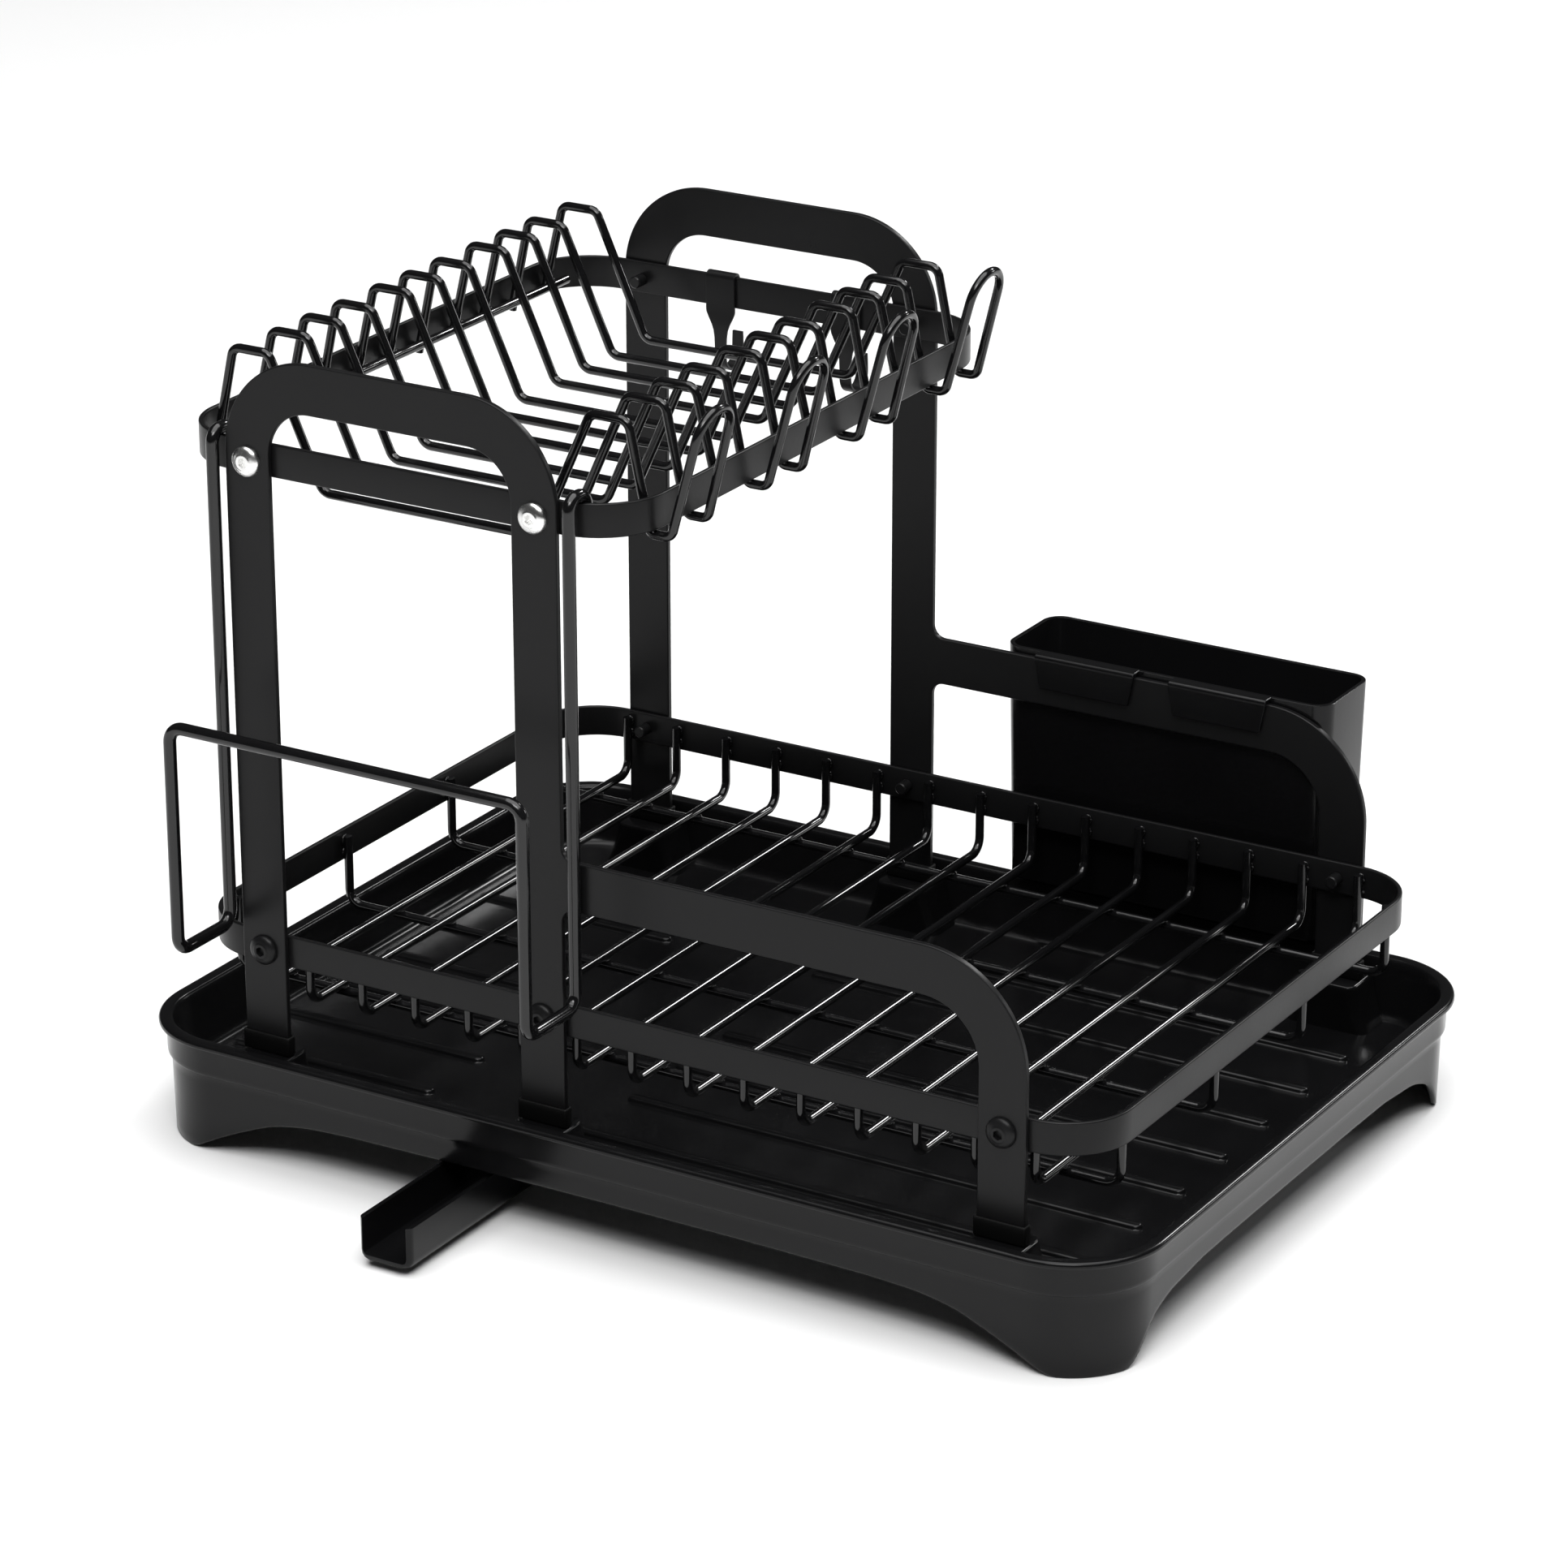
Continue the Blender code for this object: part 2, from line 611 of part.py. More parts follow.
def make_cutlery_box(parent):
    wall = BOX_WALL
    profile = ((4.0, BOX_BOTTOM_Z), (2.2, BOX_BOTTOM_Z + 1.8), (0.0, BOX_RIM_Z), (wall, BOX_RIM_Z),
               (2.2 + wall, BOX_BOTTOM_Z + 4.0), (5.0 + wall, BOX_BOTTOM_Z + wall))
    box = place("cutlery_box", loft("cutlery_box", [box_section(i, z) for i, z in profile]), PLASTIC, parent)
    tabs = join_meshes("cutlery_tabs", [cutlery_tab(*span) for span in TAB_X])
    boolean(box, helper("cutlery_tabs", tabs, parent), "UNION")
    slots = []
    middle_y = BOX_FRONT_Y + BOX_DEPTH / 2
    middle_x = (BOX_X[0] + BOX_X[1]) / 2
    for i in range(6):
        x = middle_x + (i - 2.5) * 19.0
        outline = rounded_rectangle(2.0, 9.0, 1.95, 3, (x, middle_y))
        slots.append(prism("slot", outline, BOX_BOTTOM_Z - 3, BOX_BOTTOM_Z + 6))
    boolean(box, helper("cutlery_drain_slots", join_meshes("slots", slots), parent))


def make_utensil_hooks(parent):
    """A flat clip over the back strip, whose narrow tail curls back and up."""
    half_thick = HOOK_THICK / 2
    outside = RING_Y + GAP + half_thick
    inside = RING_Y - STRIP_THICK - GAP - half_thick
    top = UPPER_RING_Z + STRIP_HEIGHT / 2 + GAP + half_thick
    tail_z = 246.5
    curl = 6.5
    path = [(outside, top - 9.0), (outside, top), (inside, top), (inside, 263.0), (inside, 256.0)]
    path += arc((inside + curl, tail_z), curl, 180, 360, 8)
    path.append((inside + 2 * curl, 254.0))
    widths = [HOOK_WIDTH] * 4 + [8.0] + [5.0] * 9 + [4.6]
    for number, x in enumerate(HOOK_X, 1):
        sections = []
        for i, (y, z) in enumerate(path):
            before = Vector(path[max(i - 1, 0)])
            after = Vector(path[min(i + 1, len(path) - 1)])
            here = Vector((y, z))
            into = (here - before).normalized() if i else (after - here).normalized()
            out = (after - here).normalized() if i < len(path) - 1 else into
            along = (into + out).normalized()
            across = Vector((-along.y, along.x)) * half_thick / max(along.dot(into), 0.5)
            half = widths[i] / 2
            low, high = here - across, here + across
            sections.append([(-half, low.x, low.y), (half, low.x, low.y), (half, high.x, high.y),
                             (-half, high.x, high.y)])
        name = f"utensil_hook_{number}"
        place(name, loft(name, sections), BLACK_METAL, parent, (x, 0, 0))


# Fasteners


def screw_mesh():
    """A button head with a hex socket on a plain shank, its axis along Y and its head's seat at the origin."""
    profile = [(0.0, -HEAD_HEIGHT), (2.9, -HEAD_HEIGHT), (4.2, -2.6), (5.3, -1.6), (HEAD_RADIUS, -0.5),
               (HEAD_RADIUS, 0.0), (SHANK_RADIUS, 0.0), (SHANK_RADIUS, SHANK_LENGTH), (0.0, SHANK_LENGTH)]
    shape = bmesh.new()
    verts = [shape.verts.new((r * MM, y * MM, 0)) for r, y in profile]
    for a, b in zip(verts, verts[1:]):
        shape.edges.new((a, b))
    mesh = bpy.data.meshes.new("screw_profile")
    shape.to_mesh(mesh)
    shape.free()
    turned = bpy.data.objects.new("screw_profile", mesh)
    CUTTERS.objects.link(turned)
    spin = turned.modifiers.new("turn", "SCREW")
    spin.axis = "Y"
    spin.steps = spin.render_steps = 16
    spin.use_merge_vertices = True
    spin.merge_threshold = 0.00001
    hexagon = arc((0, 0), 2.0, 30, 330, 5)
    socket = loft("socket", [[(u * 1.0, y, v * 1.0) for u, v in hexagon] for y in (-6.0, -1.2)])
    socket_object = helper("screw_socket", socket)
    boolean(turned, socket_object)
    graph = bpy.context.evaluated_depsgraph_get()
    made = bpy.data.meshes.new_from_object(turned.evaluated_get(graph))
    bpy.data.objects.remove(turned, do_unlink=True)
    bpy.data.objects.remove(socket_object, do_unlink=True)
    shape = bmesh.new()
    shape.from_mesh(made)
    bmesh.ops.remove_doubles(shape, verts=shape.verts, dist=1e-6)
    bmesh.ops.recalc_face_normals(shape, faces=shape.faces)
    shape.to_mesh(made)
    shape.free()
    return made


def make_screws(parent):
    """Heads against the outer faces of both frames."""
    mesh = screw_mesh()
    mesh.shade_smooth()
    mesh.set_sharp_from_angle(angle=math.radians(35))
    seat = FRAME_FACE_Y + BAR_THICK + 0.05
    for side, facing in (("front", -1), ("back", 1)):
        for number, (x, z) in enumerate(bolt_places(), 1):
            bright = side == "front" and z == BOLT_Z_UPPER
            data = mesh.copy()
            screw = place(f"screw_{side}_{number}", data, BRIGHT_STEEL if bright else BLACK_METAL, parent,
                          (x, facing * seat, z))
            if facing > 0:
                screw.rotation_euler = (0, 0, math.pi)


clear_scene()
PARTS = collection("dish_drying_rack")
CUTTERS = collection("cutters")
PLASTIC = material("black_plastic", (0.022, 0.022, 0.023), 0.42)
BLACK_METAL = material("black_painted_metal", (0.024, 0.024, 0.025), 0.45, 0.3)
BLACK_WIRE = material("black_coated_wire", (0.016, 0.016, 0.017), 0.32, 0.2)
BRIGHT_STEEL = material("bright_steel", (0.75, 0.75, 0.74), 0.28, 1.0)
RUBBER = material("black_rubber", (0.012, 0.012, 0.012), 0.7)

RACK = empty("rack_middle", (0, MIDDLE_Y, 0))
make_tray(RACK)
make_spout(RACK)
make_frames(RACK)
make_leg_caps(RACK)
make_ring("upper_ring", UPPER_RING_X, UPPER_RING_HALF, UPPER_RING_Z, LEG_X[:2], BOLT_Z_UPPER, RACK)
make_ring("lower_ring", LOWER_RING_X, LOWER_RING_HALF, LOWER_RING_Z, LEG_X, BOLT_Z_LOWER, RACK)
make_plate_wires(RACK)
make_rail_wire(RACK)
make_long_wires(RACK)
make_cross_wires(RACK)
make_board_holder(RACK)
make_cutlery_box(RACK)
make_utensil_hooks(RACK)
make_screws(RACK)
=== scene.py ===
"""Looks of the two-tier dish drying rack: smooth wires, rolled strip rings, flat-bar frames, moulded plastic parts
and fasteners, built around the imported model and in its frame. The rack's lengths are in millimetres, turned into
metres by MM; the floor, the lamps and the camera are placed in metres."""
import math

import bmesh
import bpy
from mathutils import Matrix, Vector


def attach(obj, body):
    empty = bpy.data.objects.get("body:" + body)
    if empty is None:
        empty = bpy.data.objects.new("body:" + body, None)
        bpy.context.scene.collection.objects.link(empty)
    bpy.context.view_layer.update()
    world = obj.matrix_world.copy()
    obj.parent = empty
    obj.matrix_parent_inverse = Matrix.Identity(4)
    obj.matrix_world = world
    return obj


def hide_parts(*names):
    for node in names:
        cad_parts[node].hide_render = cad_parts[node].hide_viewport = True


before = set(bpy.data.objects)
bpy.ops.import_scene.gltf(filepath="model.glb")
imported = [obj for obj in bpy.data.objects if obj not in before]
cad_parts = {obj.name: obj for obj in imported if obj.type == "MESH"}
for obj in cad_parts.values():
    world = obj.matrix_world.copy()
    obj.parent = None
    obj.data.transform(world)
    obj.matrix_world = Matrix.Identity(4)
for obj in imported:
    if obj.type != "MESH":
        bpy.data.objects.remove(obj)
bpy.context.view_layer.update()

MM = 0.001
SCENE = bpy.context.scene

# The rack's own middle along Y, and the gap left between neighbouring pieces
MIDDLE_Y = 10.0
GAP = 0.3

# Drip tray
TRAY_HALF_X = 210.0
TRAY_HALF_Y = 152.0
TRAY_CORNER = 37.0
CORNER_STEPS = 22
LONG_SIDE_STEPS = 90
SHORT_SIDE_STEPS = 60
FLOOR_TOP = 22.6
FLOOR_UNDER = 20.4
SKIRT_MIDDLE = 6.0
# Height of the skirt's lower edge by the distance from the middle of its side
LONG_ARCH = ((181.5, 0.0), (179.0, 1.5), (172.0, 5.4), (161.0, 10.7), (146.0, 17.0), (136.0, 19.2),
             (127.5, 20.4), (109.0, 21.3), (60.0, 22.0), (0.0, 22.2))
SHORT_ARCH = ((124.8, 0.0), (123.6, 1.4), (120.5, 6.0), (116.8, 10.9), (112.0, 15.2), (100.0, 19.3),
              (75.0, 21.8), (50.0, 22.1), (0.0, 22.2))
RIB_PITCH = 33.6
RIB_ROWS = 7
RIB_WIDTH = 5.0
RIB_TOP = 24.2
LEFT_RIBS_X = (-194.0, -103.5)
RIGHT_RIBS_X = (-38.0, 176.5)
PAD_LOW = 21.6
PAD_TOP = 41.2
PAD_HALF_TOP = 11.2
PAD_HALF_FOOT = 17.6
PAD_FLARE = 1.4
PAD_INNER_Y = 124.0
PAD_REACH = (143.0, 145.2)
DRAIN = (-60.5, -126.0)
DRAIN_RADIUS = 9.0

# Drain spout
SPOUT_HALF = 11.2
SPOUT_Z = (3.4, 19.4)
SPOUT_Y = (-196.4, -111.0)
SPOUT_WALL = 1.8
COLLAR_BORE = 6.6

# Side frames
BAR = 18.8
BAR_THICK = 2.5
FRAME_FACE_Y = 132.4
LEG_X = (-154.0, -32.0, 156.0)
LEG_BOTTOM = 43.4
CAP_WALL = 1.0
CAP_HEIGHT = 7.4
HANDLE_TOP = 312.0
HANDLE_RADIUS = 37.0
ARM_TOP = 145.7
ARM_RADIUS = 41.5
CORNER_FILLET = 5.0
BOLT_Z_UPPER = 272.0
BOLT_Z_LOWER = 82.5

# Rings
STRIP_THICK = 1.8
STRIP_HEIGHT = 12.6
RING_HALF_Y = 132.1
RING_CORNER = 26.0
UPPER_RING = (-93.0, 96.7, 272.8)
LOWER_RING = (1.0, 190.6, 82.5)

# Wires of the upper tier; distances along X are from the upper ring's middle
WIRE = 3.5
PAIR_PITCH = 24.1
SINGLE_PITCH = 20.3
LOOP_TOP_Z = 304.0
LOOP_OUTER = 84.1
LOOP_INNER = 68.6
LOOP_BEND = 4.2
TROUGH_HALF = 46.2
TROUGH_Z = 255.1
TROUGH_BEND = 5.0
WIRE_FOOT = 92.55
WIRE_FOOT_Z = 264.2
STEM_END_Z = 269.6
STUB_END_Z = 266.5
RAIL_X = 86.7
RAIL_Z = 272.0
CUP_FOOT = 101.4
CUP_TOP = 113.3
CUP_TOP_Z = 309.6
CUP_HALF = 10.6
CUP_FOOT_BENDS = (3.0, 3.4)

# Wires of the lower basket
LONG_WIRES = 15
LONG_PITCH = 23.4
LONG_MIDDLE_X = 2.0
LONG_Z = 62.3
LONG_END_Y = 128.25
CROSS_Y = (-106.2, -35.4, 35.4, 106.2)
CROSS_Z = 58.5
CROSS_END_X = 186.75
WIRE_END_Z = 86.4
BASKET_BEND = 6.0

# Heights of the weld beads on the lower ring, and on the upper one
LOWER_WELDS_Z = (79.5, 84.5)
UPPER_WELD_Z = 268.4

# Cutting-board holder
HOLDER_WIRE = 4.8
HOLDER_X = (-166.8, -15.5)
HOLDER_INSIDE_Y = -126.6
HOLDER_OUTSIDE_Y = -137.6
HOLDER_OVER_Z = 281.8
HOLDER_DROP_Z = 91.8
HOLDER_FRONT_Y = -169.8
HOLDER_BAR_Z = 179.7
HOLDER_HOOK_DEPTH = 14.0
HOLDER_HOOK_BEND = 4.6
HOLDER_BEND = 6.0

# Cutlery box
BOX_X = (7.1, 146.6)
BOX_Y = (135.4, 176.4)
BOX_Z = (49.0, 147.8)
BOX_WALL = 2.0
BOX_CORNER = 8.0
BOX_SLOTS = 6
BOX_SLOT_PITCH = 19.0
TAB_X = ((23.6, 66.8), (81.5, 123.2))
TAB_LOW_Z = 134.2
TAB_THICK = 1.6
TAB_TAPER = 2.4

# Utensil hooks
HOOK_X = (-117.3, -60.7)
HOOK_THICK = 1.2

# Camera: degrees, metres and lens millimetres
CAMERA_AZIMUTH = 30.818
CAMERA_ELEVATION = 21.585
CAMERA_PLACE = (0.9902, -1.6687, 0.9046)
CAMERA_LENS = 129.46


# Node trees


class Tree:
    """A node tree that is written from its inputs to its output."""

    def __init__(self, tree):
        self.tree = tree

    def add(self, kind, inputs=None, **settings):
        """A node with its settings. An input takes a number or a socket to link from."""
        made = self.tree.nodes.new(kind)
        for key, value in settings.items():
            setattr(made, key, value)
        for key, value in (inputs or {}).items():
            if isinstance(value, bpy.types.NodeSocket):
                self.tree.links.new(value, made.inputs[key])
            else:
                made.inputs[key].default_value = value
        return made

    def maths(self, operation, first, second):
        """The output of a Math node."""
        return self.add("ShaderNodeMath", {0: first, 1: second}, operation=operation).outputs[0]

    def finish(self, geometry, finish):
        """The end of every shape's tree: real copies with their material."""
        real = self.add("GeometryNodeRealizeInstances", {"Geometry": geometry}).outputs[0]
        smooth = self.add("GeometryNodeSetShadeSmooth", {"Geometry": real}).outputs[0]
        painted = self.add("GeometryNodeSetMaterial", {"Geometry": smooth, "Material": finish}).outputs[0]
        self.add("NodeGroupOutput", {0: painted})


def shape_tree(name, sizes):
    """A geometry tree with a shape to start from, named sizes and a finish; returns it and its input sockets."""
    group = bpy.data.node_groups.new(name, "GeometryNodeTree")
    group.interface.new_socket("Geometry", in_out="OUTPUT", socket_type="NodeSocketGeometry")
    kinds = {"Shape": "Geometry", **sizes, "Finish": "Material"}
    for label, kind in kinds.items():
        group.interface.new_socket(label, in_out="INPUT", socket_type="NodeSocket" + kind)
    tree = Tree(group)
    return tree, tree.add("NodeGroupInput").outputs


def bent_wire_tree():
    """Round wires along the shape's edges, each corner bent to its own radius, repeated in a row."""
    tree, given = shape_tree("bent_wires", {"Diameter": "Float", "Sides": "Int", "Count": "Int", "Step": "Vector"})
    path = tree.add("GeometryNodeMeshToCurve", {"Mesh": given["Shape"]}).outputs[0]
    bend = tree.add("GeometryNodeInputNamedAttribute", {"Name": "bend"}, data_type="FLOAT").outputs[0]
    bent = tree.add("GeometryNodeFilletCurve", {"Curve": path, "Count": 9, "Radius": bend, "Limit Radius": True},
                    mode="POLY").outputs[0]
    radius = tree.maths("MULTIPLY", given["Diameter"], 0.5)
    section = tree.add("GeometryNodeCurvePrimitiveCircle", {"Resolution": given["Sides"], "Radius": radius}).outputs[0]
    wire = tree.add("GeometryNodeCurveToMesh", {"Curve": bent, "Profile Curve": section, "Fill Caps": True}).outputs[0]
    row = tree.add("GeometryNodeMeshLine", {"Count": given["Count"], "Offset": given["Step"]}).outputs[0]
    copies = tree.add("GeometryNodeInstanceOnPoints", {"Points": row, "Instance": wire}).outputs[0]
    tree.finish(copies, given["Finish"])
    return tree.tree


def strip_ring_tree():
    """A strip on edge, rolled into a closed ring with rounded corners."""
    tree, given = shape_tree("strip_ring", {"Length": "Float", "Width": "Float", "Corner": "Float",
                                            "Height": "Float", "Thickness": "Float", "Edge": "Float"})
    outline = tree.add("GeometryNodeCurvePrimitiveQuadrilateral",
                       {"Width": given["Length"], "Height": given["Width"]}).outputs[0]
    path = tree.add("GeometryNodeFilletCurve", {"Curve": outline, "Count": 20, "Radius": given["Corner"]},
                    mode="POLY").outputs[0]
    bar = tree.add("GeometryNodeCurvePrimitiveQuadrilateral",
                   {"Width": given["Thickness"], "Height": given["Height"]}).outputs[0]
    section = tree.add("GeometryNodeFilletCurve", {"Curve": bar, "Count": 5, "Radius": given["Edge"]},
                       mode="POLY").outputs[0]
    ring = tree.add("GeometryNodeCurveToMesh", {"Curve": path, "Profile Curve": section}).outputs[0]
    tree.finish(ring, given["Finish"])
    return tree.tree


def copies_tree():
    """Copies of one piece on the shape's points, each turned about Z and stretched as its point says."""
    tree, given = shape_tree("copies", {"Piece": "Object"})
    piece = tree.add("GeometryNodeObjectInfo", {"Object": given["Piece"]}).outputs["Geometry"]
    turn = tree.add("GeometryNodeInputNamedAttribute", {"Name": "turn"}, data_type="FLOAT").outputs[0]
    angles = tree.add("ShaderNodeCombineXYZ", {"Z": turn}).outputs[0]
    stretch = tree.add("GeometryNodeInputNamedAttribute", {"Name": "stretch"}, data_type="FLOAT_VECTOR").outputs[0]
    copies = tree.add("GeometryNodeInstanceOnPoints", {"Points": given["Shape"], "Instance": piece,
                                                       "Rotation": angles, "Scale": stretch}).outputs[0]
    tree.finish(copies, given["Finish"])
    return tree.tree


def built(name, tree, sizes, shape=None):
    """The plain mesh object that a tree makes."""
    source = bpy.data.objects.new(name + "_source", shape or bpy.data.meshes.new(name + "_source"))
    SCENE.collection.objects.link(source)
    modifier = source.modifiers.new("shape", "NODES")
    modifier.node_group = tree
    sockets = {item.name: item.identifier for item in tree.interface.items_tree if item.in_out == "INPUT"}
    for label, value in sizes.items():
        modifier[sockets[label]] = value
    return applied(source, name)


def applied(source, name):
    """An object's evaluated shape as a plain mesh object; the source is removed."""
    graph = bpy.context.evaluated_depsgraph_get()
    mesh = bpy.data.meshes.new_from_object(source.evaluated_get(graph), depsgraph=graph)
    bpy.data.objects.remove(source, do_unlink=True)
    mesh.name = name
    made = bpy.data.objects.new(name, mesh)
    SCENE.collection.objects.link(made)
    return made


# Plain mesh helpers


def mesh_object(name, shape, finish, smooth_angle=35):
    """A smooth object from a bmesh, its faces turned outwards and its edges sharp past an angle."""
    bmesh.ops.remove_doubles(shape, verts=shape.verts, dist=1e-7)
    bmesh.ops.recalc_face_normals(shape, faces=shape.faces)
    mesh = bpy.data.meshes.new(name)
    shape.to_mesh(mesh)
    shape.free()
    mesh.shade_smooth()
    mesh.set_sharp_from_angle(angle=math.radians(smooth_angle))
    made = bpy.data.objects.new(name, mesh)
    mesh.materials.append(finish)
    SCENE.collection.objects.link(made)
    return made


def rounded_edges(obj, width, segments=3, angle=35):
    """Rounds an object's sharp edges and makes the result plain."""
    bevel = obj.modifiers.new("edges", "BEVEL")
    bevel.width = width * MM
    bevel.segments = segments
    bevel.limit_method = "ANGLE"
    bevel.angle_limit = math.radians(angle)
    bevel.harden_normals = True
    return applied(obj, obj.name)


def cut(obj, cutter, operation="DIFFERENCE", smooth_angle=35):
    """Applies a Boolean, keeps the new edges sharp and removes the cutter."""
    modifier = obj.modifiers.new("cut", "BOOLEAN")
    modifier.operation = operation
    modifier.object = cutter
    made = applied(obj, obj.name)
    made.data.set_sharp_from_angle(angle=math.radians(smooth_angle))
    bpy.data.objects.remove(cutter, do_unlink=True)
    return made


def arc(centre, radius, start, end, steps):
    """Points of an arc in a plane, ends included, angles in degrees."""
    angles = [math.radians(start + (end - start) * i / steps) for i in range(steps + 1)]
    return [(centre[0] + radius * math.cos(a), centre[1] + radius * math.sin(a)) for a in angles]


def circle(centre, radius, steps=48):
    """Points round a whole circle, anticlockwise."""
    return arc(centre, radius, 0, 360 - 360 / steps, steps - 1)


def rounded_rectangle(half_x, half_y, radius, steps=8, centre=(0, 0)):
    """Outline of a rounded rectangle, anticlockwise."""
    points = []
    for sign_x, sign_y, start in ((1, 1, 0), (-1, 1, 90), (-1, -1, 180), (1, -1, 270)):
        corner = (centre[0] + sign_x * (half_x - radius), centre[1] + sign_y * (half_y - radius))
        points += arc(corner, radius, start, start + 90, steps)
    return points


def skin(shape, sections, cap_start=True, cap_end=True):
    """Joins sections of equal point count into a surface, with its ends closed if asked."""
    rings = [[shape.verts.new(Vector(p) * MM) for p in section] for section in sections]
    for low, high in zip(rings, rings[1:]):
        for i in range(len(low)):
            j = (i + 1) % len(low)
            shape.faces.new((low[i], low[j], high[j], high[i]))
    if cap_start:
        shape.faces.new(list(reversed(rings[0])))
    if cap_end:
        shape.faces.new(rings[-1])


def lofted(name, sections, finish, smooth_angle=35):
    """A closed object skinned over sections."""
    shape = bmesh.new()
    skin(shape, sections)
    return mesh_object(name, shape, finish, smooth_angle)


def path_mesh(name, paths):
    """Open paths as edges; each corner is (x, y, z, bend radius)."""
    points = [p for path in paths for p in path]
    edges = []
    start = 0
    for path in paths:
        edges += [(start + i, start + i + 1) for i in range(len(path) - 1)]
        start += len(path)
    mesh = bpy.data.meshes.new(name)
    mesh.from_pydata([Vector(p[:3]) * MM for p in points], edges, [])
    bends = mesh.attributes.new("bend", "FLOAT", "POINT")
    bends.data.foreach_set("value", [p[3] * MM for p in points])
    return mesh


def spots_mesh(name, spots):
    """Points for copies; each spot is (place, turn in degrees, stretch)."""
    mesh = bpy.data.meshes.new(name)
    mesh.from_pydata([Vector(place) * MM for place, _, _ in spots], [], [])
    turns = mesh.attributes.new("turn", "FLOAT", "POINT")
    turns.data.foreach_set("value", [math.radians(turn) for _, turn, _ in spots])
    stretches = mesh.attributes.new("stretch", "FLOAT_VECTOR", "POINT")
    stretches.data.foreach_set("vector", [c for _, _, stretch in spots for c in stretch])
    return mesh


def stand_in_for(obj, body, slot, *nodes):
    """Shifts a finished piece to the rack's middle, and lets it stand for its CAD nodes on their body."""
    obj.data.transform(Matrix.Translation((0, MIDDLE_Y * MM, 0)))
    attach(obj, body)
    if nodes:
        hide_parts(*nodes)


# Materials


def grained_black(name, colour, roughness, specular, grain_size, grain_depth, ripple_size=0.0,
                  ripple_depth=0.0, drift=0.05):
    """A coated or moulded black surface: fine grain, a slow ripple, and a slight drift in gloss and shade."""
    made = bpy.data.materials.new(name)
    made.use_nodes = True
    made.node_tree.nodes.clear()
    tree = Tree(made.node_tree)
    place = tree.add("ShaderNodeTexCoord").outputs["Object"]
    grain = tree.add("ShaderNodeTexNoise", {"Vector": place, "Scale": 1 / (grain_size * MM), "Detail": 2.0,
                                            "Roughness": 0.55}).outputs["Fac"]
    slow = tree.add("ShaderNodeTexNoise", {"Vector": place, "Scale": 22.0, "Detail": 3.0}).outputs["Fac"]
    gloss = tree.add("ShaderNodeMapRange", {"Value": slow, "From Min": 0.3, "From Max": 0.7,
                                            "To Min": roughness - drift, "To Max": roughness + drift}).outputs[0]
    speckle = tree.add("ShaderNodeMapRange", {"Value": grain, "From Min": 0.25, "From Max": 0.75,
                                              "To Min": -0.03, "To Max": 0.03}).outputs[0]
    rough = tree.maths("ADD", gloss, speckle)
    dark = tuple(c * 0.82 for c in colour) + (1.0,)
    light = tuple(c * 1.18 for c in colour) + (1.0,)
    shade = tree.add("ShaderNodeMix", {0: slow, 6: dark, 7: light}, data_type="RGBA")
    normal = tree.add("ShaderNodeBump", {"Strength": 1.0, "Distance": grain_depth * MM, "Height": grain})
    if ripple_depth:
        ripple = tree.add("ShaderNodeTexNoise", {"Vector": place, "Scale": 1 / (ripple_size * MM),
                                                 "Detail": 1.0}).outputs["Fac"]
        wave = tree.add("ShaderNodeBump", {"Strength": 1.0, "Distance": ripple_depth * MM, "Height": ripple})
        tree.tree.links.new(wave.outputs[0], normal.inputs["Normal"])
    shader = tree.add("ShaderNodeBsdfPrincipled", {"Base Color": shade.outputs[2], "Roughness": rough,
                                                   "Specular IOR Level": specular, "Normal": normal.outputs[0]})
    tree.add("ShaderNodeOutputMaterial", {"Surface": shader.outputs[0]})
    return made


def plated_steel():
    """Bright plated steel: a very fine grain and a slow change in gloss."""
    made = bpy.data.materials.new("bright_steel_finish")
    made.use_nodes = True
    made.node_tree.nodes.clear()
    tree = Tree(made.node_tree)
    place = tree.add("ShaderNodeTexCoord").outputs["Object"]
    grain = tree.add("ShaderNodeTexNoise", {"Vector": place, "Scale": 1800.0, "Detail": 3.0}).outputs["Fac"]
    slow = tree.add("ShaderNodeTexNoise", {"Vector": place, "Scale": 160.0, "Detail": 2.0}).outputs["Fac"]
    rough = tree.add("ShaderNodeMapRange", {"Value": slow, "From Min": 0.3, "From Max": 0.7, "To Min": 0.2,
                                            "To Max": 0.34}).outputs[0]
    normal = tree.add("ShaderNodeBump", {"Strength": 1.0, "Distance": 0.004 * MM, "Height": grain}).outputs[0]
    shader = tree.add("ShaderNodeBsdfPrincipled", {"Base Color": (0.78, 0.78, 0.77, 1.0), "Metallic": 1.0,
                                                   "Roughness": rough, "Normal": normal})
    tree.add("ShaderNodeOutputMaterial", {"Surface": shader.outputs[0]})
    return made


# Side frames


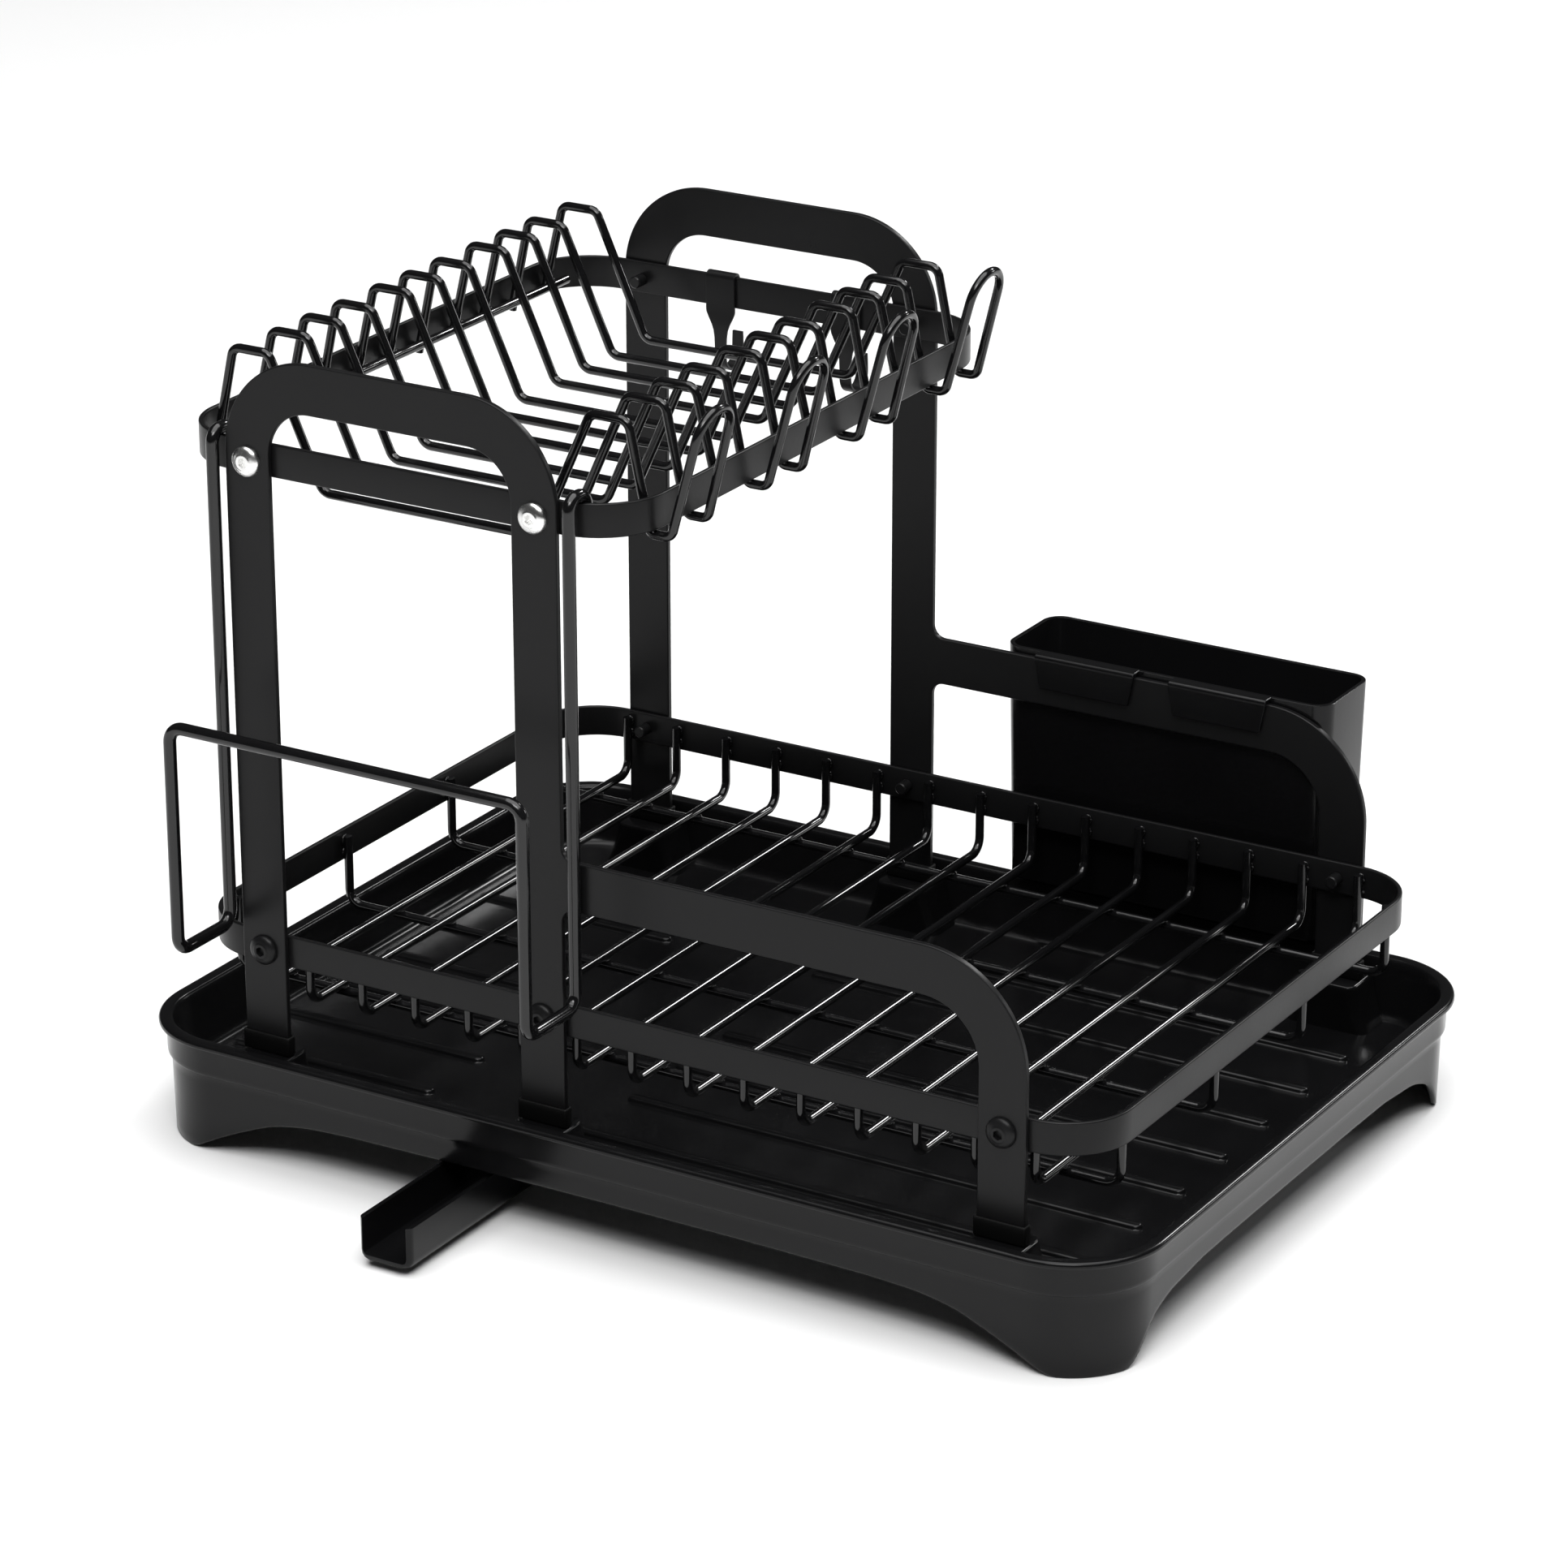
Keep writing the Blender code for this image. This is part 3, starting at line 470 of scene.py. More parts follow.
def frame_outline():
    """Front view of a side frame, starting at the left leg's foot and going round the outside."""
    half = BAR / 2
    left, middle, right = LEG_X
    inner_handle = HANDLE_RADIUS - BAR
    inner_arm = ARM_RADIUS - BAR
    handle_z = HANDLE_TOP - HANDLE_RADIUS
    arm_z = ARM_TOP - ARM_RADIUS
    fillet = CORNER_FILLET
    points = [(left - half, LEG_BOTTOM)]
    points += arc((left - half + HANDLE_RADIUS, handle_z), HANDLE_RADIUS, 180, 90, 28)
    points += arc((middle + half - HANDLE_RADIUS, handle_z), HANDLE_RADIUS, 90, 0, 28)
    points += arc((middle + half + fillet, ARM_TOP + fillet), fillet, 180, 270, 8)
    points += arc((right + half - ARM_RADIUS, arm_z), ARM_RADIUS, 90, 0, 28)
    points += [(right + half, LEG_BOTTOM), (right - half, LEG_BOTTOM)]
    points += arc((right - half - inner_arm, arm_z), inner_arm, 0, 90, 20)
    points += arc((middle + half + fillet, ARM_TOP - BAR - fillet), fillet, 90, 180, 8)
    points += [(middle + half, LEG_BOTTOM), (middle - half, LEG_BOTTOM)]
    points += arc((middle - half - inner_handle, handle_z), inner_handle, 0, 90, 20)
    points += arc((left + half + inner_handle, handle_z), inner_handle, 90, 180, 20)
    points += [(left + half, LEG_BOTTOM)]
    return points


def make_side_frames():
    """The front and the back frame, each one flat stamping with rounded edges."""
    outline = frame_outline()
    for name, side in (("front_side_frame", -1), ("back_side_frame", 1)):
        near, far = side * FRAME_FACE_Y, side * (FRAME_FACE_Y + BAR_THICK)
        plate = lofted(name + "_bar", [[(x, y, z) for x, z in outline] for y in (near, far)], PAINTED, 60)
        plate = rounded_edges(plate, 0.55, 4, 60)
        stand_in_for(plate, "rack", "black_painted_metal", name)


def make_leg_caps():
    """Rubber boots over the bars' ends, their edges rounded."""
    low = PAD_TOP + GAP
    for side_name, side in (("front", -1), ("back", 1)):
        for where, x in zip(("left", "middle", "right"), LEG_X):
            y = side * (FRAME_FACE_Y + BAR_THICK / 2)
            grown = ((CAP_WALL - 0.7, 0.0), (CAP_WALL - 0.2, 0.12), (CAP_WALL, 0.5), (CAP_WALL, CAP_HEIGHT - 0.7),
                     (CAP_WALL - 0.15, CAP_HEIGHT - 0.2), (CAP_WALL - 0.5, CAP_HEIGHT), (0.22, CAP_HEIGHT - 0.1),
                     (0.2, CAP_HEIGHT - 0.8))
            sections = []
            for out, up in grown:
                outline = rounded_rectangle(BAR / 2 + out, BAR_THICK / 2 + out, 0.4 + 0.5 * out, 5, (x, y))
                sections.append([(u, v, low + up) for u, v in outline])
            name = f"leg_cap_{side_name}_{where}"
            stand_in_for(lofted(name + "_boot", sections, BOOT, 50), "rack", "black_rubber", name)


# Rings and wires


def make_rings():
    """The upper and the lower ring of strip."""
    tree = strip_ring_tree()
    for name, (x, half, z) in (("upper_ring", UPPER_RING), ("lower_ring", LOWER_RING)):
        sizes = {"Length": (2 * half - STRIP_THICK) * MM, "Width": (2 * RING_HALF_Y - STRIP_THICK) * MM,
                 "Corner": (RING_CORNER - STRIP_THICK / 2) * MM, "Height": STRIP_HEIGHT * MM,
                 "Thickness": STRIP_THICK * MM, "Edge": 0.6 * MM, "Finish": PAINTED}
        ring = built(name + "_strip", tree, sizes)
        ring.data.transform(Matrix.Translation(Vector((x, 0, z)) * MM))
        stand_in_for(ring, "rack", "black_painted_metal", name)


def plate_wire_rows():
    """Y of the eleven plate slots' wires; those at each end of a wide step share a cup hook."""
    steps = [PAIR_PITCH if i in (1, 4, 7, 10) else SINGLE_PITCH for i in range(1, 11)]
    rows = [-sum(steps) / 2]
    for step in steps:
        rows.append(rows[-1] + step)
    return rows


def slot_path(y, left_end_z):
    """One plate slot from its left stem's end to the top of its right loop."""
    middle = UPPER_RING[0]
    return [(middle - WIRE_FOOT, y, left_end_z, 0), (middle - LOOP_OUTER, y, LOOP_TOP_Z, LOOP_BEND),
            (middle - LOOP_INNER, y, LOOP_TOP_Z, LOOP_BEND), (middle - TROUGH_HALF, y, TROUGH_Z, TROUGH_BEND),
            (middle + TROUGH_HALF, y, TROUGH_Z, TROUGH_BEND), (middle + LOOP_INNER, y, LOOP_TOP_Z, LOOP_BEND),
            (middle + LOOP_OUTER, y, LOOP_TOP_Z, LOOP_BEND)]


def cup_hook_path(near, far):
    """Two plate slots whose right ends run under the strip and meet in a leaning hairpin."""
    x = UPPER_RING[0]
    middle = (near + far) / 2
    inner_bend, outer_bend = CUP_FOOT_BENDS
    path = slot_path(near, STUB_END_Z)
    path += [(x + WIRE_FOOT, near, WIRE_FOOT_Z, inner_bend), (x + CUP_FOOT, near, WIRE_FOOT_Z, outer_bend)]
    path += [(x + CUP_TOP, middle - CUP_HALF, CUP_TOP_Z, CUP_HALF),
             (x + CUP_TOP, middle + CUP_HALF, CUP_TOP_Z, CUP_HALF)]
    path += [(x + CUP_FOOT, far, WIRE_FOOT_Z, outer_bend), (x + WIRE_FOOT, far, WIRE_FOOT_Z, inner_bend)]
    return path + list(reversed(slot_path(far, STEM_END_Z)))


def make_plate_wires(tree):
    """The three single plate wires, the four wires with cup hooks, and the rail along the left stems."""
    rows = plate_wire_rows()
    sizes = {"Diameter": WIRE * MM, "Sides": 16, "Count": 1, "Step": (0, 0, 0), "Finish": COATED}
    singles = []
    for row in (2, 5, 8):
        singles.append(slot_path(rows[row], STEM_END_Z) + [(UPPER_RING[0] + WIRE_FOOT, rows[row], STEM_END_Z, 0)])
    wires = built("plate_slot_wires", tree, sizes, path_mesh("plate_slot_paths", singles))
    stand_in_for(wires, "rack", "black_coated_wire", *[f"plate_wire_{i}" for i in (1, 2, 3)])
    pairs = [cup_hook_path(rows[i], rows[i + 1]) for i in (0, 3, 6, 9)]
    wires = built("cup_hook_wires", tree, sizes, path_mesh("cup_hook_paths", pairs))
    stand_in_for(wires, "rack", "black_coated_wire", *[f"plate_cup_wire_{i}" for i in (1, 2, 3, 4)])
    x, reach = UPPER_RING[0] - RAIL_X, rows[-1] + 6
    rail = [(x, -reach, RAIL_Z, 0), (x, reach, RAIL_Z, 0)]
    wires = built("upper_rail", tree, sizes, path_mesh("rail_path", [rail]))
    stand_in_for(wires, "rack", "black_coated_wire", "upper_rail_wire")


def long_wire_places():
    """X of the lower basket's long wires."""
    return [LONG_MIDDLE_X + (i - (LONG_WIRES - 1) / 2) * LONG_PITCH for i in range(LONG_WIRES)]


def make_lower_wires(tree):
    """The lower basket: long wires from front to back over cross wires, all with upturned ends."""
    sizes = {"Diameter": WIRE * MM, "Sides": 16, "Finish": COATED}
    bend = BASKET_BEND
    x, y, z = long_wire_places()[0], LONG_END_Y, LONG_Z
    long_path = [(x, -y, WIRE_END_Z, 0), (x, -y, z, bend), (x, y, z, bend), (x, y, WIRE_END_Z, 0)]
    row = {"Count": LONG_WIRES, "Step": (LONG_PITCH * MM, 0, 0)}
    wires = built("lower_long_wires", tree, {**sizes, **row}, path_mesh("long_path", [long_path]))
    stand_in_for(wires, "rack", "black_coated_wire", *[f"long_wire_{i + 1:02d}" for i in range(LONG_WIRES)])
    left, right = LOWER_RING[0] - CROSS_END_X, LOWER_RING[0] + CROSS_END_X
    y, z = CROSS_Y[0], CROSS_Z
    cross_path = [(left, y, WIRE_END_Z, 0), (left, y, z, bend), (right, y, z, bend), (right, y, WIRE_END_Z, 0)]
    row = {"Count": len(CROSS_Y), "Step": (0, (CROSS_Y[1] - CROSS_Y[0]) * MM, 0)}
    wires = built("lower_cross_wires", tree, {**sizes, **row}, path_mesh("cross_path", [cross_path]))
    stand_in_for(wires, "rack", "black_coated_wire", *[f"cross_wire_{i}" for i in (1, 2, 3, 4)])


def make_board_holder(tree):
    """One thick wire that hooks over the upper ring's front strip at both ends."""
    left, right = HOLDER_X
    end = HOLDER_OVER_Z - HOLDER_HOOK_DEPTH
    hook, bend = HOLDER_HOOK_BEND, HOLDER_BEND
    half = [(left, HOLDER_INSIDE_Y, end, 0), (left, HOLDER_INSIDE_Y, HOLDER_OVER_Z, hook),
            (left, HOLDER_OUTSIDE_Y, HOLDER_OVER_Z, hook), (left, HOLDER_OUTSIDE_Y, HOLDER_DROP_Z, bend),
            (left, HOLDER_FRONT_Y, HOLDER_DROP_Z, bend), (left, HOLDER_FRONT_Y, HOLDER_BAR_Z, bend)]
    path = half + [(right, *rest) for _, *rest in reversed(half)]
    sizes = {"Diameter": HOLDER_WIRE * MM, "Sides": 20, "Count": 1, "Step": (0, 0, 0), "Finish": COATED}
    wires = built("board_holder_wire", tree, sizes, path_mesh("holder_path", [path]))
    stand_in_for(wires, "holder", "black_coated_wire", "board_holder")


# Fasteners


def lathe(name, profile, steps=40):
    """A painted piece turned about Y, from (radius, y) points."""
    sections = [[(u, y, v) for u, v in circle((0, 0), max(radius, 0.01), steps)] for radius, y in profile]
    return lofted(name, sections, PAINTED, 40)


def button_head():
    """A button head with a hex socket; its seat is at y = 0 and it faces -Y."""
    profile = [(2.3, 0.6), (5.5, 0.6), (5.75, 0.35), (5.8, 0.0), (5.78, -0.45)]
    profile += [(5.8 * math.cos(math.radians(a)), -0.5 - 2.5 * math.sin(math.radians(a))) for a in range(10, 60, 7)]
    profile += [(2.9, -2.72), (2.5, -2.78), (2.15, -2.76)]
    head = lathe("button_head", profile, 48)
    socket = lofted("socket", [[(u, y, v) for u, v in arc((0, 0), 1.95, 30, 330, 5)] for y in (-5.0, -1.1)], PAINTED)
    return cut(head, socket)


def hexagon_nut():
    """A flanged hexagon nut with the bolt's end through it; its seat is at y = 0 and it faces +Y."""
    flange = lathe("nut_flange", [(2.5, 0.0), (5.0, 0.0), (5.3, 0.2), (5.3, 0.7), (4.9, 1.2), (3.8, 1.5)])
    corners = arc((0, 0), 4.5, 0, 300, 5)
    shape = bmesh.new()
    shape.from_mesh(flange.data)
    skin(shape, [[(u, y, v) for u, v in corners] for y in (1.0, 4.6)])
    bpy.data.objects.remove(flange, do_unlink=True)
    nut = mesh_object("hexagon_nut", shape, PAINTED)
    chamfer = lathe("nut_chamfer", [(5.6, -0.2), (5.6, 3.6), (4.0, 4.75), (0.0, 4.75)], 48)
    nut = cut(nut, chamfer, "INTERSECT")
    end = lathe("bolt_end", [(2.4, 0.5), (2.4, 5.5), (2.0, 5.9), (0.0, 5.9)], 32)
    return cut(nut, end, "UNION")


def bolt_places():
    """The five bolts of one side, as (x, z), upper ones first."""
    return [(x, BOLT_Z_UPPER) for x in LEG_X[:2]] + [(x, BOLT_Z_LOWER) for x in LEG_X]


def make_fasteners(tree):
    """Bright heads at the top of the front frame, black ones elsewhere, and a nut behind each."""
    plain = (1.0, 1.0, 1.0)
    seat = FRAME_FACE_Y + BAR_THICK
    heads = {"bright": [], "black": []}
    nuts = []
    for side in (-1, 1):
        for x, z in bolt_places():
            bright = side < 0 and z == BOLT_Z_UPPER
            turn = 0 if side < 0 else 180
            heads["bright" if bright else "black"].append(((x, side * seat, z), turn, plain))
            nuts.append(((x, side * (RING_HALF_Y - STRIP_THICK), z), turn, plain))
    head = button_head()
    nodes = {"bright": ["screw_front_1", "screw_front_2"],
             "black": [f"screw_front_{i}" for i in (3, 4, 5)] + [f"screw_back_{i}" for i in (1, 2, 3, 4, 5)]}
    for kind, finish, slot in (("bright", PLATED, "bright_steel"), ("black", PAINTED, "black_painted_metal")):
        spots = spots_mesh(kind + "_head_spots", heads[kind])
        made = built(kind + "_screw_heads", tree, {"Piece": head, "Finish": finish}, spots)
        stand_in_for(made, "rack", slot, *nodes[kind])
    bpy.data.objects.remove(head, do_unlink=True)
    nut = hexagon_nut()
    made = built("hexagon_nuts", tree, {"Piece": nut, "Finish": PAINTED}, spots_mesh("nut_spots", nuts))
    stand_in_for(made, "rack", "black_painted_metal")
    bpy.data.objects.remove(nut, do_unlink=True)


def weld_bead():
    """A smooth ball of 1 mm radius, stretched into a bead of weld at each place."""
    shape = bmesh.new()
    bmesh.ops.create_icosphere(shape, subdivisions=2, radius=1.0 * MM)
    return mesh_object("weld_bead", shape, PAINTED, 180)


def make_welds(tree):
    """Beads where each wire meets a strip or another wire."""
    spots = []
    at_lower_ring, at_crossing = (2.3, 0.8, 2.4), (1.9, 1.9, 0.8)
    at_rail, at_upper_ring = (1.5, 0.9, 1.7), (2.1, 1.3, 1.9)
    strip_inside = RING_HALF_Y - STRIP_THICK
    for x in long_wire_places():
        for side in (-1, 1):
            for z in LOWER_WELDS_Z:
                spots.append(((x, side * (strip_inside - 0.5), z), 0, at_lower_ring))
    for y in CROSS_Y:
        for side in (-1, 1):
            x = LOWER_RING[0] + side * (LOWER_RING[1] - STRIP_THICK - 0.5)
            for z in LOWER_WELDS_Z:
                spots.append(((x, y, z), 90, at_lower_ring))
        for x in long_wire_places():
            spots.append(((x, y, (LONG_Z + CROSS_Z) / 2), 0, at_crossing))
    for y in plate_wire_rows():
        spots.append(((UPPER_RING[0] - RAIL_X - WIRE / 2 - 0.2, y, RAIL_Z), 90, at_rail))
        for side in (-1, 1):
            x = UPPER_RING[0] + side * (UPPER_RING[1] - STRIP_THICK - 0.9)
            spots.append(((x, y, UPPER_WELD_Z), 90, at_upper_ring))
    bead = weld_bead()
    made = built("weld_beads", tree, {"Piece": bead, "Finish": COATED}, spots_mesh("bead_spots", spots))
    stand_in_for(made, "rack", "black_coated_wire")
    bpy.data.objects.remove(bead, do_unlink=True)


# Drip tray


def height_at(table, distance):
    """Linear height from a table of (distance, height), outermost first; past its outer end the height is 0."""
    distance = abs(distance)
    if distance >= table[0][0]:
        return 0.0
    for (far, low), (near, high) in zip(table, table[1:]):
        if distance >= near:
            return low + (high - low) * (far - distance) / (far - near)
    return table[-1][1]


def eased_height(table, distance, spread=3.0):
    """The table's height, averaged over a short stretch so that the arch has no kinks."""
    samples = [height_at(table, abs(distance) + spread * k / 4) for k in range(-4, 5)]
    return sum(samples) / len(samples)


def tray_outline(inset):
    """Outline of the tray at an inset, with enough points along its sides to follow the arches."""
    half_x, half_y, radius = TRAY_HALF_X - inset, TRAY_HALF_Y - inset, TRAY_CORNER - inset
    corners = rounded_rectangle(half_x, half_y, radius, CORNER_STEPS)
    per_corner = CORNER_STEPS + 1
    points = []
    for quarter in range(4):
        part = corners[quarter * per_corner:(quarter + 1) * per_corner]
        points += part
        start = part[-1]
        end = corners[((quarter + 1) % 4) * per_corner]
        steps = LONG_SIDE_STEPS if quarter % 2 == 0 else SHORT_SIDE_STEPS
        points += [(start[0] + (end[0] - start[0]) * i / steps, start[1] + (end[1] - start[1]) * i / steps)
                   for i in range(1, steps)]
    return points


def arch_height(x, y):
    """Height of the skirt's lower edge at a place on the outline."""
    high = 0.0
    if abs(y) > TRAY_HALF_Y - TRAY_CORNER:
        high = eased_height(LONG_ARCH, x)
    if abs(x) > TRAY_HALF_X - TRAY_CORNER:
        high = max(high, eased_height(SHORT_ARCH, y))
    return high


def make_tray_shell():
    """From under the floor, round the skirt and over the rim, down to the top of the floor. A profile point is
    (inset, height, share): its height moves up with the arch by that share."""
    profile = ((12.4, FLOOR_UNDER, 0), (10.2, 21.8, 0), (8.0, 25.6, 0), (6.7, 31.5, 0), (6.75, 28.0, 0.05),
               (7.1, 4.0, 0.9), (7.15, 0.6, 1), (6.95, 0.1, 1), (6.6, 0.0, 1), (5.8, 0.0, 1), (5.35, 0.12, 1),
               (5.1, 0.6, 1), (5.05, 4.0, 0.9), (4.55, 28.0, 0.05), (4.5, 31.6, 0), (4.3, 32.0, 0), (3.2, 32.3, 0),
               (3.0, 32.7, 0), (2.9, 34.0, 0), (2.8, 43.0, 0), (2.6, 43.7, 0), (2.2, 43.9, 0), (0.5, 44.0, 0),
               (0.1, 44.2, 0), (0.0, 44.6, 0), (0.0, 45.2, 0), (0.25, 45.9, 0), (0.75, 46.35, 0), (1.4, 46.5, 0),
               (3.9, 46.5, 0), (4.7, 46.35, 0), (5.3, 45.9, 0), (5.8, 45.1, 0), (6.5, 42.8, 0), (9.7, 26.6, 0),
               (10.3, 24.9, 0), (11.2, 23.6, 0), (12.4, 22.85, 0), (14.0, FLOOR_TOP, 0))
    shape = bmesh.new()
    base = tray_outline(SKIRT_MIDDLE)
    heights = [arch_height(x, y) for x, y in base]
    sections = []
    for inset, z, share in profile:
        sections.append([(x, y, z + share * lift) for (x, y), lift in zip(tray_outline(inset), heights)])
    skin(shape, sections)
    shell = mesh_object("tray_shell", shape, PLASTIC, 60)
    outline = circle(DRAIN, DRAIN_RADIUS)
    hole = lofted("drain_hole", [[(x, y, z) for x, y in outline] for z in (FLOOR_UNDER - 5, FLOOR_TOP + 5)], PLASTIC)
    stand_in_for(cut(shell, hole, smooth_angle=60), "tray", "black_plastic", "drip_tray")


def rib_sections(low_x, high_x, y):
    """A round-ended rib as shrinking outlines, with a small fillet at its foot."""
    sections = []
    for out, z in ((0.9, FLOOR_TOP - 0.3), (0.45, FLOOR_TOP + 0.12), (0.12, FLOOR_TOP + 0.45), (0.0, RIB_TOP - 0.75),
                   (-0.25, RIB_TOP - 0.3), (-0.75, RIB_TOP)):
        half_x, half_y = (high_x - low_x) / 2 + out, RIB_WIDTH / 2 + out
        outline = rounded_rectangle(half_x, half_y, half_y - 0.01, 9, ((low_x + high_x) / 2, y))
        sections.append([(u, v, z) for u, v in outline])
    return sections


def make_ribs(tree):
    """Rows of ribs on the floor in two groups, with the drain between them."""
    shape = bmesh.new()
    for low_x, high_x in (LEFT_RIBS_X, RIGHT_RIBS_X):
        skin(shape, rib_sections(low_x, high_x, 0))
    pair = mesh_object("rib_pair", shape, PLASTIC, 50)
    spots = [((0, (row - (RIB_ROWS - 1) / 2) * RIB_PITCH, 0), 0, (1.0, 1.0, 1.0)) for row in range(RIB_ROWS)]
    ribs = built("floor_ribs", tree, {"Piece": pair, "Finish": PLASTIC}, spots_mesh("rib_rows", spots))
    stand_in_for(ribs, "tray", "black_plastic")
    bpy.data.objects.remove(pair, do_unlink=True)


def make_pads():
    """The leg pads: their sides flare out to the floor, and their tops' edges are rounded. A step of the flare
    is (share of the way down to the floor, how far the edge is drawn in)."""
    shape = bmesh.new()
    flare = [(1.0 - step / 14, 0.0) for step in range(14)] + [(0.04, 0.1), (0.015, 0.35), (0.0, 0.8)]
    for x in LEG_X:
        for side in (-1, 1):
            sections = []
            for depth, shrink in flare:
                half_x = PAD_HALF_TOP - shrink + (PAD_HALF_FOOT - PAD_HALF_TOP) * depth ** PAD_FLARE
                reach = PAD_REACH[1] + (PAD_REACH[0] - PAD_REACH[1]) * depth
                half_y = (reach - PAD_INNER_Y - shrink) / 2
                outline = rounded_rectangle(half_x, half_y, 4.0 - shrink, 8, (x, side * (reach - half_y)))
                z = PAD_TOP + (PAD_LOW - PAD_TOP) * depth
                sections.append([(u, v, z) for u, v in outline])
            skin(shape, sections)
    stand_in_for(mesh_object("leg_pads", shape, PLASTIC, 50), "tray", "black_plastic")


def spout_channel():
    """The open channel, its lower edges rounded."""
    middle_y = (SPOUT_Y[0] + SPOUT_Y[1]) / 2
    half_y = (SPOUT_Y[1] - SPOUT_Y[0]) / 2
    low, high = SPOUT_Z
    sections = []
    for shrink, z in ((2.6, low), (1.1, low + 0.5), (0.3, low + 1.6), (0.0, low + 3.2), (0.0, high)):
        outline = rounded_rectangle(SPOUT_HALF - shrink, half_y, 3.0, 6, (DRAIN[0], middle_y))
        sections.append([(x, y, z) for x, y in outline])
    body = lofted("spout_channel", sections, PLASTIC, 50)
    half = SPOUT_HALF - SPOUT_WALL
    sections = []
    for shrink, z in ((1.6, low + SPOUT_WALL), (0.5, low + SPOUT_WALL + 0.5), (0.0, low + SPOUT_WALL + 1.7),
                      (0.0, high + 4)):
        near, far = SPOUT_Y[0] - 8, SPOUT_Y[1] - SPOUT_WALL - shrink
        outline = rounded_rectangle(half - shrink, (far - near) / 2, 2.0, 5, (DRAIN[0], (near + far) / 2))
        sections.append([(x, y, z) for x, y in outline])
    body = cut(body, lofted("spout_hollow", sections, PLASTIC))
    return rounded_edges(body, 0.4, 2, 40)


def spout_collar():
    """The hollow snap collar through the drain hole, with its lip over the floor."""
    low, lip = SPOUT_Z[1] - 2.6, FLOOR_TOP + GAP
    outside = COLLAR_BORE + 1.8
    turned = [(COLLAR_BORE, low), (outside, low), (outside, lip), (10.4, lip), (10.6, FLOOR_TOP + 0.6),
              (10.4, FLOOR_TOP + 1.2), (9.6, FLOOR_TOP + 1.6), (7.2, FLOOR_TOP + 1.6),
              (COLLAR_BORE, FLOOR_TOP + 1.1)]
    shape = bmesh.new()
    sections = [[(x, y, z) for x, y in circle(DRAIN, radius)] for radius, z in turned + turned[:1]]
    skin(shape, sections, cap_start=False, cap_end=False)
    return mesh_object("spout_collar", shape, PLASTIC, 40)


def spout_bridge():
    """The plate that joins the collar to the channel's walls, open at the collar's bore."""
    high = SPOUT_Z[1]
    plate = [(u + DRAIN[0], v + DRAIN[1]) for u, v in rounded_rectangle(SPOUT_HALF - 0.6, 8.2, 1.0, 4)]
    bridge = lofted("spout_bridge", [[(x, y, z) for x, y in plate] for z in (high - 2.4, high - 0.05)], PLASTIC)
    ring = circle(DRAIN, COLLAR_BORE)
    return cut(bridge, lofted("bore", [[(x, y, z) for x, y in ring] for z in (high - 6, high + 3)], PLASTIC))


def make_spout():
    """An open channel with its snap collar and the plate between them."""
    channel, collar, bridge = spout_channel(), spout_collar(), spout_bridge()
    stand_in_for(channel, "spout", "black_plastic", "drain_spout")
    for piece in (collar, bridge):
        stand_in_for(piece, "spout", "black_plastic")


# Cutlery box and utensil hooks


def box_section(inset, z):
    """The box's outline at a height, drawn in by the inset."""
    half_x = (BOX_X[1] - BOX_X[0]) / 2 - inset
    half_y = (BOX_Y[1] - BOX_Y[0]) / 2 - inset
    centre = ((BOX_X[0] + BOX_X[1]) / 2, (BOX_Y[0] + BOX_Y[1]) / 2)
    return [(x, y, z) for x, y in rounded_rectangle(half_x, half_y, max(BOX_CORNER - inset, 2.0), 10, centre)]


def cutlery_tab(low_x, high_x):
    """A tab over the frame's arm and down its inner side, narrower below the arm's top."""
    under = ARM_TOP + GAP
    top = BOX_Z[1]
    bend = TAB_THICK - 0.1
    shoulder = top - bend
    inner = FRAME_FACE_Y - GAP
    outer = inner - TAB_THICK
    root = BOX_Y[0] + 1.2
    side_view = [(root, under), (inner, under), (inner, TAB_LOW_Z), (outer, TAB_LOW_Z), (outer, shoulder - 0.6)]
    side_view += arc((outer + bend, shoulder), bend, 180, 90, 5) + [(root, top)]
    middle, half = (low_x + high_x) / 2, (high_x - low_x) / 2
    taper = TAB_TAPER / (shoulder - TAB_LOW_Z)
    sections = []
    for side in (-1, 1):
        sections.append([(middle + side * (half - taper * max(shoulder - z, 0.0)), y, z) for y, z in side_view])
    return rounded_edges(lofted("cutlery_tab", sections, PLASTIC), 0.45, 3)


def make_cutlery_box():
    """A box drawn narrower to its floor, with rounded rim and base, drain slots and two tabs."""
    low, high = BOX_Z
    wall = BOX_WALL
    profile = ((5.2, low), (3.6, low + 0.25), (2.7, low + 0.9), (2.25, low + 2.0), (0.06, high - 0.7),
               (0.15, high - 0.2), (0.6, high), (1.4, high), (1.85, high - 0.2), (wall, high - 0.7),
               (2.2 + wall, low + 5.5), (2.9 + wall, low + 3.4), (4.6 + wall, low + wall))
    box = lofted("cutlery_box_body", [box_section(inset, z) for inset, z in profile], PLASTIC, 50)
    centre_x, centre_y = (BOX_X[0] + BOX_X[1]) / 2, (BOX_Y[0] + BOX_Y[1]) / 2
    shape = bmesh.new()
    for i in range(BOX_SLOTS):
        x = centre_x + (i - (BOX_SLOTS - 1) / 2) * BOX_SLOT_PITCH
        outline = rounded_rectangle(2.0, 9.0, 1.95, 6, (x, centre_y))
        skin(shape, [[(x, y, z) for x, y in outline] for z in (low - 3, low + 6)])
    box = cut(box, mesh_object("drain_slots", shape, PLASTIC))
    stand_in_for(box, "cutlery", "black_plastic", "cutlery_box")
    for span in TAB_X:
        stand_in_for(cutlery_tab(*span), "cutlery", "black_plastic")


